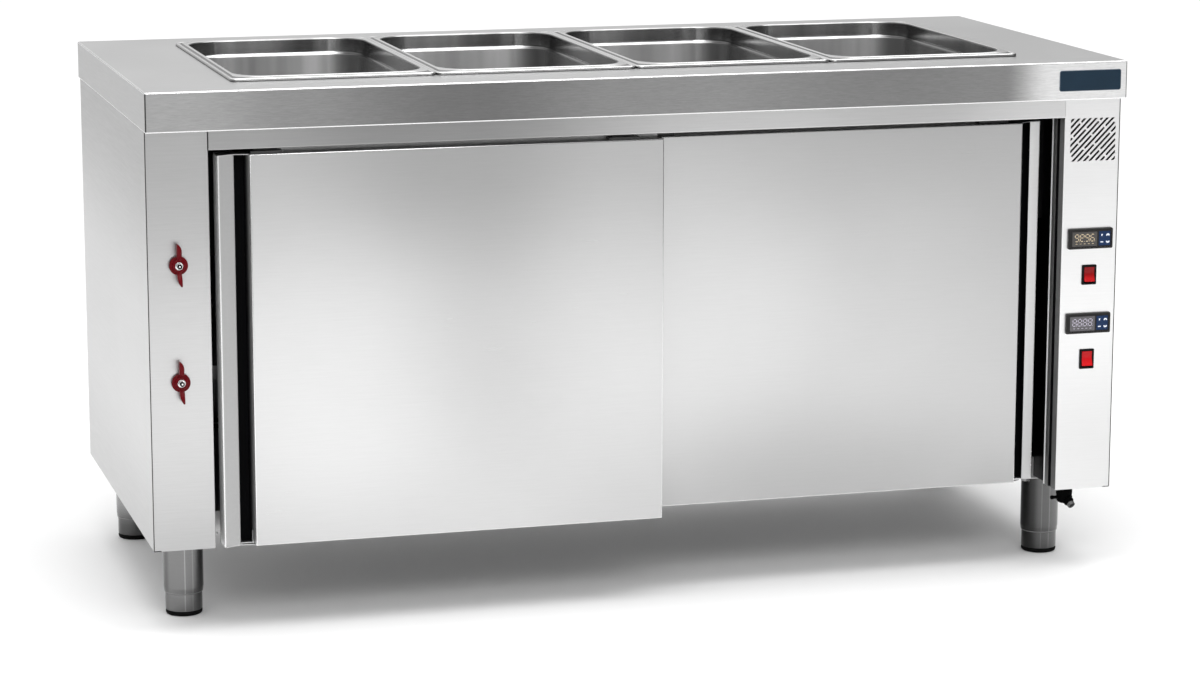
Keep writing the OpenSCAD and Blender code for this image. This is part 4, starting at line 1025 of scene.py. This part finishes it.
def make_rockers():
    b = Build()
    for z in (496.6, 355.7):
        def ring(d, y, r):
            return [(x, y, zz) for x, zz in rrect(CTL_X - 12.7 + d, CTL_X + 12.7 - d, z - 16.5 + d, z + 16.5 - d, r, 4)]
        def hole(d, y):
            return [(x, y, zz) for x, zz in rrect(CTL_X - 9.2 + d, CTL_X + 9.2 - d, z - 13.4 + d, z + 13.4 - d, 0.6, 4)]
        rows = [ring(0.3, 20.0, 1.4), ring(0, 19.7, 1.5), ring(0, 18.4, 1.5), ring(0.3, 17.8, 1.5), ring(0.9, 17.6, 1.4), hole(-0.5, 17.6), hole(-0.1, 17.8), hole(0, 18.3), hole(0, 40.0), ring(2.2, 40.0, 0.6), ring(2.2, 20.0, 0.6)]
        b.loops(rows, 0, closed=True)
        b.bm(box_bm(CTL_X - 10.5, CTL_X + 10.5, 40.0, 44.0, z - 14.5, z + 14.5, 0.5, 2), 0)
    piece("rocker_frames", b, "cabinet", [M["bezel"]], ["rocker_bezels"], sharp=40)
    for tag, z in (("upper", 496.6), ("lower", 355.7)):
        b = Build()
        ang = math.radians(-8)

        def tilt(x, y, zz):
            # about the X axis through the pins at y 23
            return (CTL_X + x, 23 + y * math.cos(ang) - zz * math.sin(ang), z + y * math.sin(ang) + zz * math.cos(ang))

        # cross-section in y and z: hollowed face, round back
        face = []
        for k in range(13):
            u = -1 + 2 * k / 12
            face.append((-5.25 - 2.1 * abs(u) ** 1.7, 11.7 * u))
        back = [(2.3, 11.6), (5.2, 9.2), (8.4, 4.6), (9.0, 3.0), (9.0, -3.0), (8.4, -4.6), (5.2, -9.2), (2.3, -11.6)]
        sec = face + [(-7.2, 12.0)] + back + [(-7.2, -12.0)]
        cy, cz = 0.0, 0.0
        rows = []
        for x, k in ((-8.9, 0.93), (-8.75, 0.965), (-8.3, 0.99), (-7.6, 1.0), (7.6, 1.0), (8.3, 0.99), (8.75, 0.965), (8.9, 0.93)):
            rows.append([tilt(x, y * k, zz * k) for y, zz in sec])
        b.loops(rows, 0, cap0=True, cap1=True)
        piece("rocker_%s_button" % tag, b, "rocker_" + tag, [M["rocker"]], ["rocker_" + tag], sharp=55)


# --------------------------------------------------------------------- gland
def make_gland():
    gl = Vector((1530, 47, 120))
    rot = Matrix.Rotation(math.radians(17), 3, "Z") @ Matrix.Rotation(math.radians(125), 3, "X")

    def aim(u, v, w):
        p = gl + rot @ Vector((u, v, w))
        return tuple(p)

    b = Build()
    c = (gl.x, gl.y, gl.z)
    prof = [(9.4, 26.0), (9.4, 18.2), (12.6, 18.0), (13.0, 17.5), (13.0, 2.0)]
    for k in range(0, 13):
        a = math.radians(90 * k / 12)
        prof.append((max(5.0 + 8.0 * math.cos(a), 0.02), -5.0 - 8.0 * math.sin(a)))
    prof = [(0.02, 26.0)] + prof + [(0.02, -13.0)]
    lathe(b, c, prof, 64, 0)
    # ribs round the body
    for i in range(20):
        a = 2 * math.pi * i / 20
        ux, uy = math.cos(a), math.sin(a)
        px, py = -uy, ux
        r0, r1, w = 12.6, 13.5, 0.8
        pts = [(gl.x + ux * r + px * s * w, gl.y + uy * r + py * s * w) for r, s in ((r0, -1), (r1, -0.6), (r1, 0.6), (r0, 1))]
        b.bm(prism_bm(pts, 122.5, 136.5, "Z", 0.25, 1), 0)
    # clamp screw to the side
    prof = [(0.02, -24.0), (2.6, -24.0), (3.4, -23.2), (3.4, -19.5), (2.7, -19.0), (2.7, -9.0), (0.02, -9.0)]
    lathe(b, (gl.x, gl.y, gl.z - 3), prof, 32, 0, axis="X")
    # collar towards the nut
    rows = []
    for r, h in ((10.2, 4.0), (10.2, 9.6), (9.6, 10.6), (5.3, 10.6), (5.3, 4.0)):
        rows.append([aim(r * math.cos(2 * math.pi * i / 48), r * math.sin(2 * math.pi * i / 48), h) for i in range(48)])
    b.loops(rows, 0, closed=True)
    piece("gland_housing", b, "cabinet", [M["gland"]], ["gland_body"], sharp=40)
    b = Build()
    rows = []
    prof = ((5.0, 11.0), (8.0, 11.0), (8.5, 11.5), (8.5, 16.2), (8.1, 16.9), (7.3, 17.2), (6.9, 18.4), (6.6, 20.0), (6.4, 21.6), (6.3, 23.6), (6.1, 24.6), (5.7, 25.0), (5.3, 24.9), (5.0, 24.4))
    for r, h in prof:
        row = []
        for i in range(72):
            a = 2 * math.pi * i / 72
            rr = r - (0.35 * (0.5 + 0.5 * math.cos(a * 18)) if 8.4 < r else 0)
            row.append(aim(rr * math.cos(a), rr * math.sin(a), h))
        rows.append(row)
    b.loops(rows, [1 if h > 19.9 else 0 for r, h in prof], closed=True)
    piece("gland_clamp_nut", b, "cabinet", [M["gland"], M["nut"]], ["gland_nut"], sharp=40)


# ------------------------------------------------------------- CAD node looks
def dress(node, mat, bevel=0.0, seg=2):
    ob = NODES[node]
    ob.data.materials.clear()
    ob.data.materials.append(mat)
    if bevel:
        w = ob.modifiers.new("join", "WELD")
        w.merge_threshold = 1e-6
        d = ob.modifiers.new("flat", "DECIMATE")
        d.decimate_type = "DISSOLVE"
        d.angle_limit = math.radians(1.0)
        v = ob.modifiers.new("edge", "BEVEL")
        v.width = bevel / 1000
        v.segments = seg
        v.limit_method = "ANGLE"
        v.angle_limit = math.radians(40)
        v.use_clamp_overlap = True
        n = ob.modifiers.new("even", "WEIGHTED_NORMAL")
        n.keep_sharp = True


make_worktop()
make_badge()
for i in range(4):
    make_pan(i)
make_side("side_panel_left", 1.0, 1, M["side"])
make_side("side_panel_right", 1599.0, -1, M["side"])
make_column_left()
make_control_panel()
make_fascia()
make_back()
make_door("door_left_outer", "door_left", door1_to, 709.0, 134.5, 748.3, 27.4, 2.0, 12.0, 49.5, M["door_l"], M["lip"])
make_door("door_right_outer", "door_right", door2_to, 717.0, 141.7, 745.0, 18.4, 16.0, 18.0, 38.0, M["door_r"], M["lip_r"])
make_legs()
make_valve("fill", 583.0)
make_valve("drain", 401.0)
make_controls()
make_rockers()
make_gland()

for node, mat, bev in (
    ("water_tank", "inner", 0), ("pan_bars", "inner", 0), ("column_wall_left", "inner_side", 0), ("column_wall_right", "wall_right", 0),
    ("cabinet_floor", "inner", 0), ("inner_shelf", "inner", 0), ("ceiling_panel", "inner_top", 0), ("door_track", "track", 0),
    ("lower_guide", "guide", 0), ("leg_bolts", "bright", 0), ("valve_bodies", "brass", 0), ("fill_pipe", "pipe", 0), ("drain_pipe", "pipe", 0),
    ("terminal_block", "cream", 0), ("tank_heater", "element", 0), ("cupboard_heater", "element", 0),
    ("door_left_inner", "inner", 0), ("door_right_inner", "inner", 0), ("door_left_hangers", "shade", 0), ("door_right_hangers", "shade", 0),
    ("door_left_roller_a", "nylon", 0), ("door_left_roller_b", "nylon", 0), ("door_right_roller_a", "nylon", 0), ("door_right_roller_b", "nylon", 0),
):
    dress(node, M[mat], bev)

# --------------------------------------------------------------------- stage
fm, nt, fb = new_mat("floor_pale")
g = noise(nt, mapped(nt, (0.6, 0.6, 0.6)), 1.0, 2.0, 0.5)
link(nt, tinted(nt, ramp(nt, g, 0.3, 0.7, 0.985, 1.0), (0.93, 0.93, 0.93)), fb.inputs["Base Color"])
fb.inputs["Roughness"].default_value = 0.75
fb.inputs["Specular IOR Level"].default_value = 0.25
# the sweep behind the counter runs up to white
ft = nt.nodes.new("ShaderNodeTexCoord")
fs = nt.nodes.new("ShaderNodeSeparateXYZ")
link(nt, ft.outputs["Object"], fs.inputs["Vector"])
fb.inputs["Emission Color"].default_value = (1, 1, 1, 1)
link(nt, ramp(nt, fs.outputs["Y"], 1.0, 6.0, 0.0, 0.17), fb.inputs["Emission Strength"])
me = bpy.data.meshes.new("floor")
S = 40.0
me.from_pydata([(-S, -S, 0), (S, -S, 0), (S, S, 0), (-S, S, 0)], [], [(0, 1, 2, 3)])
me.materials.append(fm)
floor = bpy.data.objects.new("floor", me)
scene.collection.objects.link(floor)

world = bpy.data.worlds.new("studio")
scene.world = world
world.use_nodes = True
wn = world.node_tree
bg = wn.nodes["Background"]
tc = wn.nodes.new("ShaderNodeTexCoord")
sp = wn.nodes.new("ShaderNodeSeparateXYZ")
link(wn, tc.outputs["Generated"], sp.inputs["Vector"])
back = ramp(wn, sp.outputs["Y"], -0.6, 0.6, 0.75, 1.0)
val = math_node(wn, "MULTIPLY", back, ramp(wn, sp.outputs["Z"], 0.05, 0.6, 0.54, 1.36))
# darker to the left and right near the floor, as between the flags of a studio
ab = math_node(wn, "ABSOLUTE", sp.outputs["X"], 0.0)
side = math_node(wn, "MULTIPLY", ramp(wn, ab, 0.45, 0.85, 0.0, 0.72), ramp(wn, sp.outputs["Z"], 0.15, 0.65, 1.0, 0.0))
val = math_node(wn, "MULTIPLY", val, math_node(wn, "SUBTRACT", 1.0, side))
right_flag = math_node(wn, "MULTIPLY", ramp(wn, sp.outputs["X"], 0.25, 0.75, 0.0, 0.75), ramp(wn, sp.outputs["Z"], 0.5, 0.9, 1.0, 0.0))
val = math_node(wn, "MULTIPLY", val, math_node(wn, "SUBTRACT", 1.0, right_flag))
link(wn, val, bg.inputs["Strength"])
bg.inputs["Color"].default_value = (1, 1, 1, 1)


def area(name, loc, target, sx, sy, power, spread=180):
    li = bpy.data.lights.new(name, "AREA")
    li.shape = "RECTANGLE"
    li.size, li.size_y = sx, sy
    li.energy = power
    li.spread = math.radians(spread)
    ob = bpy.data.objects.new(name, li)
    ob.location = loc
    ob.rotation_mode = "QUATERNION"
    ob.rotation_quaternion = (Vector(target) - Vector(loc)).to_track_quat("-Z", "Y")
    scene.collection.objects.link(ob)
    return ob


area("softbox_top", (0.1, -0.75, 3.6), (0.0, -0.1, 0.0), 4.2, 2.2, 80)
area("softbox_front", (-0.4, -3.6, 2.7), (0.0, -0.3, 0.2), 3.0, 1.2, 42)

# -------------------------------------------------------------------- camera
cam = bpy.data.cameras.new("camera")
cam.sensor_width = 36.0
cam.lens = 3505.2061 / 1200 * 36.0
cam.clip_end = 200
co = bpy.data.objects.new("camera", cam)
scene.collection.objects.link(co)
yaw, pitch, roll = 0.2813, 0.1953, 0.0015
fwd = Vector((math.sin(yaw) * math.cos(pitch), math.cos(yaw) * math.cos(pitch), -math.sin(pitch)))
right = Vector((math.cos(yaw), -math.sin(yaw), 0.0))
upv = right.cross(fwd)
r2 = right * math.cos(roll) + upv * math.sin(roll)
u2 = -right * math.sin(roll) + upv * math.cos(roll)
co.location = W(-792.3439, -5200.8302, 1503.3865)
rot = Matrix((r2, u2, -fwd)).transposed()
co.rotation_mode = "QUATERNION"
co.rotation_quaternion = rot.to_quaternion()
scene.camera = co
scene.view_settings.view_transform = "Standard"
